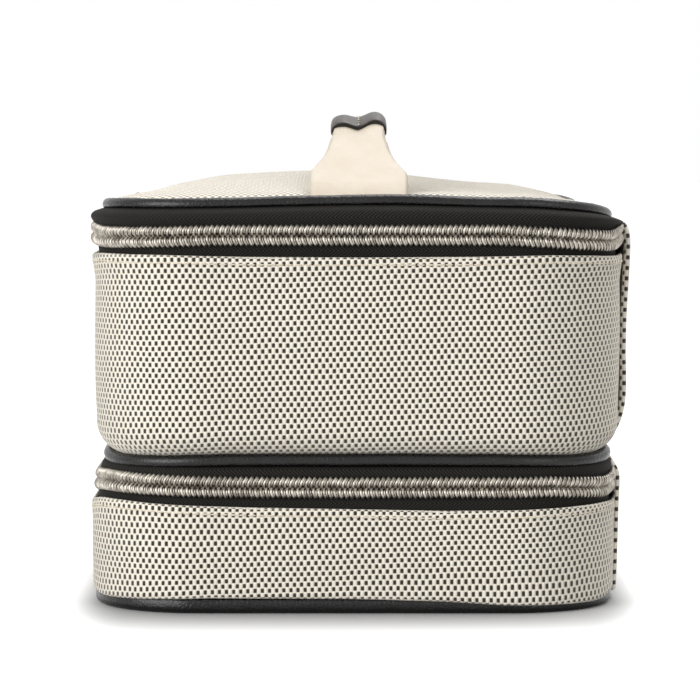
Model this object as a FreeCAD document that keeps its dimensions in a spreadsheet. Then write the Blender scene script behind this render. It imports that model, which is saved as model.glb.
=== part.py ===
import FreeCAD, Part
import os
from types import SimpleNamespace

import Sketcher

# Two-tier soft vanity case. X runs along the case, -Y is its front, +Y its back, Z is up.
# The origin is the middle of the base's resting face. All sizes are in millimetres.
DIMENSIONS = {
    "case_length": 240.0,
    "case_depth": 166.0,
    "corner_radius": 35.0,
    "canvas_thick": 1.0,
    "foam_thick": 2.0,
    "lining_thick": 0.6,
    "board_thick": 2.0,
    "fabric_gap": 0.05,
    "trim_height": 4.2,
    "trim_proud": 0.4,
    "trim_round": 3.2,
    "flange_width": 12.0,
    "base_hem_level": 32.3,
    "base_zip_level": 39.3,
    "mid_piping_level": 48.2,
    "mid_piping_inset": 4.9,
    "mid_piping_size": 4.4,
    "case_bottom_level": 49.5,
    "case_bottom_round": 10.0,
    "case_flange_width": 11.0,
    "upper_hem_level": 111.2,
    "lid_zip_level": 117.8,
    "lid_piping_level": 128.8,
    "lid_piping_inset": 4.1,
    "lid_piping_size": 4.0,
    "lid_rim_inset": 6.2,
    "lid_rim_level": 129.6,
    "lid_crown_rise": 8.0,
    "lid_crown_run": 70.0,
    "lid_crown_radius": 8.0,
    "lid_sag_back_degrees": 1.5,
    "lid_sag_end_degrees": 0.6,
    "lid_sag_from_front": 38.0,
    "lid_tape_spare": 1.1,
    "tape_thick": 0.7,
    "tape_hidden": 8.3,
    "tape_lean": 3.1,
    "coil_thick": 2.2,
    "coil_reach": 3.2,
    "chain_groove": 1.4,
    "binding_inset": 4.8,
    "binding_thick": 1.2,
    "panel_half_width": 84.0,
    "panel_thick": 1.2,
    "panel_overlap": 8.0,
    "panel_split": 0.4,
    "strap_level": 153.6,
    "strap_thick": 2.6,
    "strap_flat_half": 58.0,
    "strap_bend": 40.0,
    "strap_end_x": 113.5,
    "strap_end_level": 131.1,
    "neck_half_width": 8.7,
    "neck_end": 75.0,
    "tab_half_width": 15.25,
    "tab_start": 97.7,
    "flare_radius": 42.9,
    "grip_half_length": 73.0,
    "grip_half_width": 9.4,
    "grip_lobe_radius": 5.6,
    "grip_lobe_offset": 4.3,
    "grip_top": 3.9,
    "grip_under": 2.8,
    "grip_edge_cut": 1.2,
    "slider_meeting": -52.0,
    "slider_rest": 7.5,
    "slider_half_length": 5.2,
    "slider_half_height": 4.3,
    "slider_plate": 1.0,
    "slider_clear": 0.35,
    "post_half_height": 0.35,
    "post_length": 3.0,
    "lug_inside": 2.4,
    "lug_width": 1.2,
    "lug_half_height": 1.3,
    "bail_stand": 2.05,
    "bail_radius": 0.7,
    "eye_clear": 0.08,
    "eye_radius": 1.7,
    "pull_half_width": 5.5,
    "pull_thick": 1.4,
    "pull_neck": 2.0,
    "pull_shoulder": 5.0,
    "pull_length": 10.0,
    "window_half_width": 4.1,
    "window_top": 5.6,
    "pull_bar": 1.4,
    "tab_loop_radius": 2.0,
    "tab_hole_radius": 1.1,
    "tab_half_thick": 1.2,
    "tab_half_span": 3.7,
    "tab_taper_end": 15.0,
    "tab_length": 31.0,
}

# How far the lid's crown has risen at each share of its run in from the rim
CROWN_SHARES = (0.0, 0.1, 0.25, 0.45, 0.7, 1.0)
CROWN_POWER = 1.8


class Measure:
    """A size worked out from the sheet: its formula there, and its value now."""

    def __init__(self, formula, value):
        self.formula = formula
        self.value = value

    @classmethod
    def of(cls, size):
        if isinstance(size, cls):
            return size
        return cls(repr(float(size)), float(size))

    def __add__(self, other):
        other = Measure.of(other)
        return Measure(f"({self.formula} + {other.formula})", self.value + other.value)

    def __sub__(self, other):
        other = Measure.of(other)
        return Measure(f"({self.formula} - {other.formula})", self.value - other.value)

    def __mul__(self, number):
        return Measure(f"({self.formula} * {number!r})", self.value * number)

    def __truediv__(self, number):
        return Measure(f"({self.formula} / {number!r})", self.value / number)

    def __neg__(self):
        return Measure(f"(-1 * {self.formula})", -self.value)


doc = FreeCAD.newDocument("vanity_case")
finished = []


def make_sheet():
    sheet = doc.addObject("Spreadsheet::Sheet", "Sizes")
    for row, (alias, value) in enumerate(DIMENSIONS.items(), start=1):
        sheet.set(f"A{row}", alias)
        sheet.set(f"B{row}", str(value))
        sheet.setAlias(f"B{row}", alias)
    doc.recompute()
    return SimpleNamespace(**{alias: Measure(f"Sizes.{alias}", value) for alias, value in DIMENSIONS.items()})


size = make_sheet()
zero = Measure.of(0)


# Sketches

def new_body(name):
    body = doc.addObject("PartDesign::Body", name)
    body.Label = name
    finished.append(body)
    return body


def origin_plane(body, role):
    return next(feature for feature in body.Origin.OriginFeatures if feature.Role == role)


def new_sketch(body, role, offset=None):
    sketch = body.newObject("Sketcher::SketchObject", f"{body.Name}_sketch")
    sketch.AttachmentSupport = [(origin_plane(body, role), "")]
    sketch.MapMode = "FlatFace"
    if offset is not None:
        sketch.setExpression("AttachmentOffset.Base.z", offset.formula)
    return sketch


def hold(sketch, kind, places, measure):
    index = sketch.addConstraint(Sketcher.Constraint(kind, *places, measure.value))
    name = f"size_{index}"
    sketch.renameConstraint(index, name)
    sketch.setExpression(f"Constraints.{name}", measure.formula)


def place(sketch, shape, end, across=None, up=None):
    """Holds a point of a sketch at its distances from the origin."""
    for kind, axis, measure in (("DistanceX", -2, across), ("DistanceY", -1, up)):
        if measure is None:
            continue
        if measure.value == 0:
            sketch.addConstraint(Sketcher.Constraint("PointOnObject", shape, end, axis))
        elif measure.value > 0:
            hold(sketch, kind, (-1, 1, shape, end), measure)
        else:
            hold(sketch, kind, (shape, end, -1, 1), -measure)


def join(sketch, first, first_end, second, second_end, kind="Coincident"):
    sketch.addConstraint(Sketcher.Constraint(kind, first, first_end, second, second_end))


def point(across, up):
    return FreeCAD.Vector(across, up, 0)


def add_line(sketch, start, end):
    return sketch.addGeometry(Part.LineSegment(start, end), False)


def add_arc(sketch, centre, radius, first_degrees, last_degrees):
    circle = Part.Circle(centre, FreeCAD.Vector(0, 0, 1), radius)
    degree = 3.141592653589793 / 180
    return sketch.addGeometry(Part.ArcOfCircle(circle, first_degrees * degree, last_degrees * degree), False)


def add_polygon(sketch, corners):
    """Draws straight sides through corners given as pairs of measures."""
    first = None
    count = len(corners)
    for index, (across, up) in enumerate(corners):
        next_across, next_up = corners[(index + 1) % count]
        line = add_line(sketch, point(across.value, up.value), point(next_across.value, next_up.value))
        first = line if first is None else first
        place(sketch, line, 1, across, up)
    for index in range(count):
        join(sketch, first + index, 2, first + (index + 1) % count, 1)


def add_circle(sketch, across, up, radius):
    centre = point(across.value, up.value)
    circle = sketch.addGeometry(Part.Circle(centre, FreeCAD.Vector(0, 0, 1), radius.value), False)
    place(sketch, circle, 3, across, up)
    hold(sketch, "Radius", (circle,), radius)


def add_rounded_loop(sketch, inset, radius=None, split=False):
    """Draws the case's plan outline, set in by inset. A split front side starts at its middle."""
    half_x = size.case_length / 2 - inset
    half_y = size.case_depth / 2 - inset
    radius = size.corner_radius - inset if radius is None else radius
    x, y, r = half_x.value, half_y.value, radius.value
    front_start = 0 if split else r - x
    front = add_line(sketch, point(front_start, -y), point(x - r, -y))
    corners = [add_arc(sketch, point(x - r, r - y), r, -90, 0)]
    right = add_line(sketch, point(x, r - y), point(x, y - r))
    corners.append(add_arc(sketch, point(x - r, y - r), r, 0, 90))
    back = add_line(sketch, point(x - r, y), point(r - x, y))
    corners.append(add_arc(sketch, point(r - x, y - r), r, 90, 180))
    left = add_line(sketch, point(-x, y - r), point(-x, r - y))
    corners.append(add_arc(sketch, point(r - x, r - y), r, 180, 270))
    last = front
    if split:
        last = add_line(sketch, point(r - x, -y), point(0, -y))
        join(sketch, last, 2, front, 1)
        place(sketch, front, 1, across=zero)
        sketch.addConstraint(Sketcher.Constraint("Horizontal", last))
    chain = (front, corners[0], right, corners[1], back, corners[2], left, corners[3], last)
    for before, after in zip(chain, chain[1:]):
        join(sketch, before, 2, after, 1, kind="Tangent")
    for side, kind in ((front, "Horizontal"), (back, "Horizontal"), (left, "Vertical"), (right, "Vertical")):
        sketch.addConstraint(Sketcher.Constraint(kind, side))
    for corner in corners[1:]:
        sketch.addConstraint(Sketcher.Constraint("Equal", corners[0], corner))
    hold(sketch, "Radius", (corners[0],), radius)
    place(sketch, right, 1, across=half_x)
    place(sketch, left, 1, across=-half_x)
    place(sketch, front, 2, up=-half_y)
    place(sketch, back, 1, up=half_y)


def plan_sketch(body, level, *insets, radius=None):
    sketch = new_sketch(body, "XY_Plane", level)
    for inset in insets:
        add_rounded_loop(sketch, inset, radius)
    return sketch


# Features

def pad(body, sketch, length, symmetric=False):
    feature = body.newObject("PartDesign::Pad", f"{body.Name}_pad")
    feature.Profile = sketch
    feature.setExpression("Length", length.formula)
    if symmetric:
        feature.SideType = "Symmetric"
    doc.recompute()
    return feature


def pocket_up(body, sketch, length):
    """Cuts from the sketch towards +Z."""
    before = body.Shape.Volume if body.Tip else 0
    feature = body.newObject("PartDesign::Pocket", f"{body.Name}_pocket")
    feature.Profile = sketch
    feature.Reversed = True
    feature.setExpression("Length", length.formula)
    doc.recompute()
    if body.Shape.Volume >= before:
        raise RuntimeError(f"{body.Label}: a pocket cut nothing")
    return feature


def round_edges(body, feature, level, radius):
    """Rounds every edge that lies at one level."""
    names = []
    for index, edge in enumerate(feature.Shape.Edges, start=1):
        if all(abs(vertex.Z - level.value) < 1e-4 for vertex in edge.Vertexes):
            names.append(f"Edge{index}")
    rounding = body.newObject("PartDesign::Fillet", f"{body.Name}_round")
    rounding.Base = (feature, names)
    rounding.setExpression("Radius", radius.formula)
    doc.recompute()
    return rounding


def open_back(body, half_width, bottom, top):
    """Takes the middle of the back out of a ring."""
    sketch = new_sketch(body, "XY_Plane", bottom - 1)
    far = size.case_depth
    add_polygon(sketch, ((-half_width, zero), (half_width, zero), (half_width, far), (-half_width, far)))
    pocket_up(body, sketch, top - bottom + 2)


def ring(name, outer, inner, bottom, top):
    body = new_body(name)
    pad(body, plan_sketch(body, bottom, outer, inner), top - bottom)
    return body


def plate(name, inset, bottom, top):
    body = new_body(name)
    pad(body, plan_sketch(body, bottom, inset), top - bottom)
    return body


def shell(name, outer, thick, bottom, top, rounding, floor_hole=None):
    """A wall with a floor whose edge is rounded, or with only a turned-in flange."""
    body = new_body(name)
    pad(body, plan_sketch(body, bottom, outer), top - bottom)
    floor = bottom + thick
    hollow = pocket_up(body, plan_sketch(body, floor, outer + thick), top - floor + 1)
    inside = round_edges(body, hollow, floor, rounding - thick)
    round_edges(body, inside, bottom, rounding)
    if floor_hole is not None:
        pocket_up(body, plan_sketch(body, bottom, floor_hole), thick + 1)
    return body


def loft(body, kind, sections, ruled):
    feature = body.newObject(f"PartDesign::{kind}", f"{body.Name}_loft")
    feature.Profile = sections[0]
    feature.Sections = sections[1:]
    feature.Ruled = ruled
    doc.recompute()
    return feature


def leaning_band(name, thick, levels, insets, back_opening):
    """A tape that leans inwards from the zip to the piping, open at the back."""
    body = new_body(name)
    outer = [plan_sketch(body, level, inset) for level, inset in zip(levels, insets)]
    loft(body, "AdditiveLoft", outer, ruled=True)
    inner = [plan_sketch(body, level, inset + thick) for level, inset in zip(levels, insets)]
    loft(body, "SubtractiveLoft", inner, ruled=True)
    open_back(body, back_opening, levels[0], levels[-1])
    return body


def piping(name, inset, level, width):
    body = new_body(name)
    path = new_sketch(body, "XY_Plane", level)
    add_rounded_loop(path, inset, split=True)
    section = new_sketch(body, "YZ_Plane")
    add_circle(section, inset - size.case_depth / 2, level, width / 2)
    doc.recompute()
    sweep = body.newObject("PartDesign::AdditivePipe", f"{name}_sweep")
    sweep.Profile = section
    sweep.Spine = (path, [f"Edge{index}" for index in range(1, len(path.Shape.Edges) + 1)])
    doc.recompute()
    return body


canvas_inside = size.canvas_thick
foam_inside = size.canvas_thick + size.foam_thick
lining_outside = foam_inside + size.fabric_gap
tape_inside = size.canvas_thick + size.tape_thick
coil_outside = size.canvas_thick - size.coil_thick
half_groove = size.chain_groove / 2
back_opening = size.panel_half_width - size.panel_overlap
coil_opening = size.panel_half_width + 0.3
wall_back = size.case_depth / 2
panel_back = wall_back + size.panel_thick


def zip_half_below(tape_name, coil_name, hem, zip_level):
    """The tape and coil sewn inside the hem of a wall, below the line where the zip parts."""
    edge = zip_level - half_groove
    bottom = hem - size.tape_hidden
    tape = ring(tape_name, canvas_inside, tape_inside, bottom, edge)
    open_back(tape, back_opening, bottom, edge)
    coil_bottom = zip_level - size.coil_reach
    coil = ring(coil_name, coil_outside, canvas_inside, coil_bottom, edge)
    open_back(coil, coil_opening, coil_bottom, edge)


def zip_half_above(tape_name, coil_name, zip_level, top, lean):
    """The tape and coil above that line. The tape leans in to the piping over it."""
    edge = zip_level + half_groove
    straight = zip_level + size.coil_reach + 0.2
    levels = (edge, straight, top)
    insets = (canvas_inside, canvas_inside, canvas_inside + lean)
    tape = leaning_band(tape_name, size.tape_thick, levels, insets, back_opening)
    coil_top = zip_level + size.coil_reach
    coil = ring(coil_name, coil_outside, canvas_inside, edge, coil_top)
    open_back(coil, coil_opening, edge, coil_top)
    return tape


def step_for_tape(foam, hem, top):
    """Thins the top of the foam where the tape lies between it and the canvas."""
    bottom = hem - size.tape_hidden
    pocket_up(foam, plan_sketch(foam, bottom, canvas_inside, tape_inside), top - bottom + 1)


def back_strip(body, corners, half_width):
    sketch = new_sketch(body, "YZ_Plane")
    add_polygon(sketch, corners)
    pad(body, sketch, half_width * 2, symmetric=True)


def flap_above(name, zip_level, top, lean):
    """The part of a hinge panel between the fold and the piping over it."""
    body = new_body(name)
    bottom = zip_level + size.panel_split / 2
    straight = zip_level + size.coil_reach + 0.2
    corners = (
        (wall_back, bottom), (panel_back, bottom), (panel_back, straight),
        (panel_back - lean, top), (wall_back - lean, top), (wall_back, straight),
    )
    back_strip(body, corners, size.panel_half_width)
    return body


# Base tray

def make_base():
    trim = new_body("base_trim")
    block = pad(trim, plan_sketch(trim, zero, -size.trim_proud), size.trim_height)
    round_edges(trim, block, zero, size.trim_round)
    pocket_up(trim, plan_sketch(trim, size.canvas_thick, canvas_inside), size.trim_height)
    pocket_up(trim, plan_sketch(trim, zero, size.flange_width), size.canvas_thick + 1)

    plate("base_panel", size.flange_width + size.fabric_gap, zero, size.canvas_thick)
    board_top = size.canvas_thick + size.board_thick
    plate("base_board", lining_outside, size.canvas_thick, board_top)

    hem = size.base_hem_level
    wall = ring("base_wall_canvas", zero, canvas_inside, size.trim_height, hem)
    open_back(wall, back_opening, size.trim_height, hem)
    foam = ring("base_wall_foam", canvas_inside, foam_inside, size.canvas_thick, hem)
    step_for_tape(foam, hem, hem)

    lining = new_body("base_lining")
    pad(lining, plan_sketch(lining, board_top, lining_outside), hem - board_top)
    floor = board_top + size.lining_thick
    pocket_up(lining, plan_sketch(lining, floor, lining_outside + size.lining_thick), hem - floor + 1)

    panel = new_body("base_back_panel")
    bottom = size.trim_height + size.fabric_gap
    fold = size.base_zip_level - size.panel_split / 2
    inside = wall_back - size.canvas_thick
    outer = ((wall_back, bottom), (panel_back, bottom), (panel_back, fold), (wall_back, fold))
    back_strip(panel, outer, size.panel_half_width)
    inner = ((inside, bottom), (wall_back, bottom), (wall_back, fold), (inside, fold))
    back_strip(panel, inner, back_opening - 0.2)

    zip_half_below("base_zip_tape", "base_zip_coil", hem, size.base_zip_level)


# Upper case

def upper_back_panel():
    """The hinge panel follows the wall down and turns in under it to the piping."""
    panel = new_body("upper_back_panel")
    fold = size.lid_zip_level - size.panel_split / 2
    turn_back = wall_back - size.case_bottom_round
    turn_level = size.case_bottom_level + size.case_bottom_round
    end_level = size.mid_piping_level + size.mid_piping_size / 2 + 0.5
    layers = (
        (size.case_bottom_round, size.panel_thick, size.panel_half_width),
        (size.case_bottom_round - size.canvas_thick, size.canvas_thick, back_opening - 0.2),
    )
    for inner_radius, thick, half_width in layers:
        outer_radius = inner_radius + thick
        sketch = new_sketch(panel, "YZ_Plane")
        centre = point(turn_back.value, turn_level.value)
        y_in = turn_back + inner_radius
        y_out = turn_back + outer_radius
        outer_arc = add_arc(sketch, centre, outer_radius.value, -50, 0)
        outer_line = add_line(sketch, point(y_out.value, turn_level.value), point(y_out.value, fold.value))
        top = add_line(sketch, point(y_out.value, fold.value), point(y_in.value, fold.value))
        inner_line = add_line(sketch, point(y_in.value, fold.value), point(y_in.value, turn_level.value))
        inner_arc = add_arc(sketch, centre, inner_radius.value, -60, 0)
        end = add_line(sketch, point(centre.x + 5, end_level.value), point(centre.x + 7, end_level.value))
        join(sketch, outer_arc, 2, outer_line, 1, kind="Tangent")
        join(sketch, outer_line, 2, top, 1)
        join(sketch, top, 2, inner_line, 1)
        join(sketch, inner_line, 2, inner_arc, 2, kind="Tangent")
        join(sketch, inner_arc, 1, end, 1)
        join(sketch, end, 2, outer_arc, 1)
        sketch.addConstraint(Sketcher.Constraint("Vertical", outer_line))
        sketch.addConstraint(Sketcher.Constraint("Vertical", inner_line))
        sketch.addConstraint(Sketcher.Constraint("Horizontal", top))
        sketch.addConstraint(Sketcher.Constraint("Horizontal", end))
        join(sketch, outer_arc, 3, inner_arc, 3)
        place(sketch, outer_arc, 3, turn_back, turn_level)
        hold(sketch, "Radius", (outer_arc,), outer_radius)
        hold(sketch, "Radius", (inner_arc,), inner_radius)
        place(sketch, top, 1, up=fold)
        place(sketch, end, 1, up=end_level)
        pad(panel, sketch, half_width * 2, symmetric=True)


def make_upper_case():
    bottom = size.case_bottom_level
    hem = size.upper_hem_level
    turn = size.case_bottom_round

    wall = shell("upper_wall_canvas", zero, size.canvas_thick, bottom, hem, turn, size.case_flange_width)
    open_back(wall, back_opening, bottom, hem)

    board_bottom = bottom + size.canvas_thick
    board_top = board_bottom + size.board_thick
    foam_turn = turn - size.canvas_thick
    foam = shell("upper_wall_foam", canvas_inside, size.foam_thick, board_bottom, hem, foam_turn,
                 size.case_flange_width)
    step_for_tape(foam, hem, hem)
    lining_turn = foam_turn - size.foam_thick
    lining_bottom = board_top + size.fabric_gap
    shell("upper_lining", lining_outside, size.lining_thick, lining_bottom, hem, lining_turn)

    floor_inset = size.case_flange_width + size.fabric_gap
    plate("floor_underside", floor_inset, bottom, board_bottom)
    plate("floor_board", floor_inset, board_bottom, board_top)
    piping("mid_piping", size.mid_piping_inset, size.mid_piping_level, size.mid_piping_size)

    upper_back_panel()
    under_top = size.mid_piping_level - size.mid_piping_size / 2 - 0.15
    under_lean = size.mid_piping_inset - canvas_inside - size.tape_thick
    flap_above("under_back_panel", size.base_zip_level, under_top, under_lean)
    zip_half_above("under_zip_tape", "under_zip_coil", size.base_zip_level, under_top, under_lean)
    zip_half_below("upper_zip_tape", "upper_zip_coil", hem, size.lid_zip_level)


# Lid, which sags: its top lies lower at the back and at the -X end than its level corner

lid_corner = FreeCAD.Vector(size.case_length.value / 2, size.lid_sag_from_front.value - size.case_depth.value / 2,
                            size.lid_rim_level.value)
lid_tilt = FreeCAD.Rotation(0, -size.lid_sag_end_degrees.value, -size.lid_sag_back_degrees.value)
lid_lie = FreeCAD.Placement(FreeCAD.Vector(), lid_tilt, lid_corner)


def trim_under_lid(body, level):
    """Takes off what stands above a level that sags as the lid does."""
    sketch = new_sketch(body, "XY_Plane")
    sketch.AttachmentOffset = lid_lie.multiply(FreeCAD.Placement(FreeCAD.Vector(0, 0, level.value),
                                                                 FreeCAD.Rotation()))
    far_x, far_y = size.case_length, size.case_depth
    add_polygon(sketch, ((-far_x, -far_y), (far_x, -far_y), (far_x, far_y), (-far_x, far_y)))
    pocket_up(body, sketch, size.lid_crown_rise)


def crown_sections(body, drop):
    """Plan outlines of the crowned top, lowered and set in by drop."""
    sections = []
    rim_radius = size.corner_radius - size.lid_rim_inset
    for share in CROWN_SHARES:
        risen = round(1 - (1 - share) ** CROWN_POWER, 4)
        level = size.lid_rim_level + size.lid_crown_rise * risen - drop
        inset = size.lid_rim_inset + size.lid_crown_run * share + drop
        radius = rim_radius * (1 - share) + size.lid_crown_radius * share - drop
        sections.append(plan_sketch(body, level, inset, radius=radius))
    return sections


def make_lid():
    canvas = new_body("lid_canvas")
    loft(canvas, "AdditiveLoft", crown_sections(canvas, zero), ruled=False)
    loft(canvas, "SubtractiveLoft", crown_sections(canvas, size.canvas_thick), ruled=False)
    foam = new_body("lid_foam")
    foam_drop = size.canvas_thick + size.fabric_gap
    loft(foam, "AdditiveLoft", crown_sections(foam, foam_drop), ruled=False)

    board_top = size.lid_rim_level - foam_drop
    board_bottom = board_top - size.board_thick
    board = plate("lid_board", size.lid_rim_inset, board_bottom, board_top)
    lining = plate("lid_lining", size.lid_rim_inset, board_bottom - size.lining_thick, board_bottom)
    edging = piping("lid_piping", size.lid_piping_inset, size.lid_piping_level, size.lid_piping_size)
    for body in (canvas, foam, board, lining, edging):
        body.Placement = lid_lie

    seam = size.lid_piping_level - size.lid_piping_size / 2 - 0.15
    cut_top = seam + size.lid_tape_spare
    binding_bottom = size.lid_zip_level + 1.7
    binding_inside = size.binding_inset + size.binding_thick
    binding = ring("lid_seam_binding", size.binding_inset, binding_inside, binding_bottom, cut_top)
    flap = flap_above("lid_back_panel", size.lid_zip_level, cut_top, size.tape_lean)
    tape = zip_half_above("lid_zip_tape", "lid_zip_coil", size.lid_zip_level, cut_top, size.tape_lean)
    for body in (binding, flap, tape):
        trim_under_lid(body, seam)


def handle_path(body):
    """Draws half of the handle's middle line: the level top, then the bend towards the lid."""
    path = new_sketch(body, "XZ_Plane")
    level, flat, bend = size.strap_level.value, size.strap_flat_half.value, size.strap_bend.value
    top = add_line(path, point(0, level), point(flat, level))
    curve = add_arc(path, point(flat, level - bend), bend, 66, 90)
    join(path, top, 2, curve, 2, kind="Tangent")
    path.addConstraint(Sketcher.Constraint("Horizontal", top))
    place(path, top, 1, zero, size.strap_level)
    place(path, top, 2, across=size.strap_flat_half)
    hold(path, "Radius", (curve,), size.strap_bend)
    return path, curve


def sweep_both_ways(body, section, path, edges):
    """Sweeps a section from the middle of the handle to one end, and mirrors it to the other."""
    doc.recompute()
    sweep = body.newObject("PartDesign::AdditivePipe", f"{body.Name}_sweep")
    sweep.Profile = section
    sweep.Spine = (path, edges)
    doc.recompute()
    mirrored = body.newObject("PartDesign::Mirrored", f"{body.Name}_mirror")
    mirrored.Originals = [sweep]
    mirrored.MirrorPlane = (origin_plane(body, "YZ_Plane"), [""])
    body.Tip = mirrored
    doc.recompute()


def make_handle():
    strap = new_body("handle_strap")
    path, curve = handle_path(strap)
    bend_x = size.strap_flat_half.value + size.strap_bend.value * 0.41
    bend_z = size.strap_level.value - size.strap_bend.value * 0.09
    slope = add_line(path, point(bend_x, bend_z), point(size.strap_end_x.value, size.strap_end_level.value))
    join(path, curve, 1, slope, 1, kind="Tangent")
    place(path, slope, 2, size.strap_end_x, size.strap_end_level)

    section = new_sketch(strap, "YZ_Plane")
    half_width = size.tab_half_width
    low = size.strap_level - size.strap_thick / 2
    high = size.strap_level + size.strap_thick / 2
    add_polygon(section, ((-half_width, low), (half_width, low), (half_width, high), (-half_width, high)))
    sweep_both_ways(strap, section, path, ["Edge1", "Edge2", "Edge3"])

    waist = new_sketch(strap, "XY_Plane", size.strap_end_level - 5)
    neck, tab, radius = size.neck_half_width, size.tab_half_width, size.flare_radius
    outside = tab + 2
    for side in (1, -1):
        x_neck, x_tab = size.neck_end.value, size.tab_start.value
        y_neck, y_tab, y_out = neck.value * side, tab.value * side, outside.value * side
        y_centre = (neck.value + radius.value) * side
        neck_line = add_line(waist, point(-x_neck, y_neck), point(x_neck, y_neck))
        first, last = (270, 302) if side > 0 else (58, 90)
        right_arc = add_arc(waist, point(x_neck, y_centre), radius.value, first, last)
        first, last = (238, 270) if side > 0 else (90, 122)
        left_arc = add_arc(waist, point(-x_neck, y_centre), radius.value, first, last)
        right_line = add_line(waist, point(x_tab, y_tab), point(x_tab, y_out))
        back_line = add_line(waist, point(x_tab, y_out), point(-x_tab, y_out))
        left_line = add_line(waist, point(-x_tab, y_out), point(-x_tab, y_tab))
        near, far = (1, 2) if side > 0 else (2, 1)
        join(waist, neck_line, 2, right_arc, near, kind="Tangent")
        join(waist, right_arc, far, right_line, 1)
        join(waist, right_line, 2, back_line, 1)
        join(waist, back_line, 2, left_line, 1)
        join(waist, left_line, 2, left_arc, near)
        join(waist, left_arc, far, neck_line, 1, kind="Tangent")
        for line, kind in ((neck_line, "Horizontal"), (back_line, "Horizontal"),
                           (right_line, "Vertical"), (left_line, "Vertical")):
            waist.addConstraint(Sketcher.Constraint(kind, line))
        place(waist, neck_line, 1, -size.neck_end, neck if side > 0 else -neck)
        place(waist, neck_line, 2, across=size.neck_end)
        hold(waist, "Radius", (right_arc,), radius)
        hold(waist, "Radius", (left_arc,), radius)
        place(waist, right_line, 1, up=tab if side > 0 else -tab)
        place(waist, left_line, 2, up=tab if side > 0 else -tab)
        place(waist, back_line, 1, up=outside if side > 0 else -outside)
    pocket_up(strap, waist, size.strap_level - size.strap_end_level + 10)

    grip = new_body("handle_grip")
    path, curve = handle_path(grip)
    place(path, curve, 1, across=size.grip_half_length)
    outline = new_sketch(grip, "YZ_Plane")
    lobe_level = size.strap_level + size.grip_top - size.grip_lobe_radius
    under = size.strap_level - size.grip_under
    width, offset, lobe = size.grip_half_width, size.grip_lobe_offset, size.grip_lobe_radius
    side_level = lobe_level.value + 2.3
    low_edge, low_side = width - size.grip_edge_cut, under + size.grip_edge_cut
    right_lobe = add_arc(outline, point(offset.value, lobe_level.value), lobe.value, 24, 140)
    left_lobe = add_arc(outline, point(-offset.value, lobe_level.value), lobe.value, 40, 156)
    left = add_line(outline, point(-width.value, side_level), point(-width.value, low_side.value))
    left_cut = add_line(outline, point(-width.value, low_side.value), point(-low_edge.value, under.value))
    bottom = add_line(outline, point(-low_edge.value, under.value), point(low_edge.value, under.value))
    right_cut = add_line(outline, point(low_edge.value, under.value), point(width.value, low_side.value))
    right = add_line(outline, point(width.value, low_side.value), point(width.value, side_level))
    join(outline, right_lobe, 2, left_lobe, 1)
    chain = (left_lobe, left, left_cut, bottom, right_cut, right, right_lobe)
    for before, after in zip(chain, chain[1:]):
        join(outline, before, 2, after, 1)
    outline.addConstraint(Sketcher.Constraint("Horizontal", bottom))
    outline.addConstraint(Sketcher.Constraint("Vertical", left))
    outline.addConstraint(Sketcher.Constraint("Vertical", right))
    place(outline, right_lobe, 3, offset, lobe_level)
    place(outline, left_lobe, 3, -offset, lobe_level)
    hold(outline, "Radius", (right_lobe,), lobe)
    hold(outline, "Radius", (left_lobe,), lobe)
    place(outline, left, 2, -width, low_side)
    place(outline, bottom, 1, -low_edge, under)
    place(outline, bottom, 2, across=low_edge)
    place(outline, right, 1, width, low_side)
    slot_half = neck + 0.1
    slot_low = low - 0.1
    slot_high = high + 0.1
    add_polygon(outline, ((-slot_half, slot_low), (slot_half, slot_low),
                          (slot_half, slot_high), (-slot_half, slot_high)))
    sweep_both_ways(grip, outline, path, ["Edge1", "Edge2"])
    for body in (strap, grip):
        body.Placement = lid_lie


# Zip hardware, drawn about the zip's line on the canvas face: outwards is -Y

def put(body, side, level):
    """Stands a piece on the front, on its side of where the two sliders meet."""
    across = size.slider_meeting + size.slider_rest * side
    body.setExpression("Placement.Base.x", across.formula)
    body.setExpression("Placement.Base.y", (-size.case_depth / 2).formula)
    body.setExpression("Placement.Base.z", level.formula)


def front_block(body, corners, stand, thick):
    """Pads an outline on the front of the zip, from a height off the canvas face."""
    sketch = new_sketch(body, "XZ_Plane", stand)
    add_polygon(sketch, corners)
    pad(body, sketch, thick)


def rectangle(left, right, low, high):
    return ((left, low), (right, low), (right, high), (left, high))


coil_face = size.coil_thick - size.canvas_thick
plate_stand = coil_face + size.slider_clear
plate_face = plate_stand + size.slider_plate
bail_stand = plate_face + size.bail_stand


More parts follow.
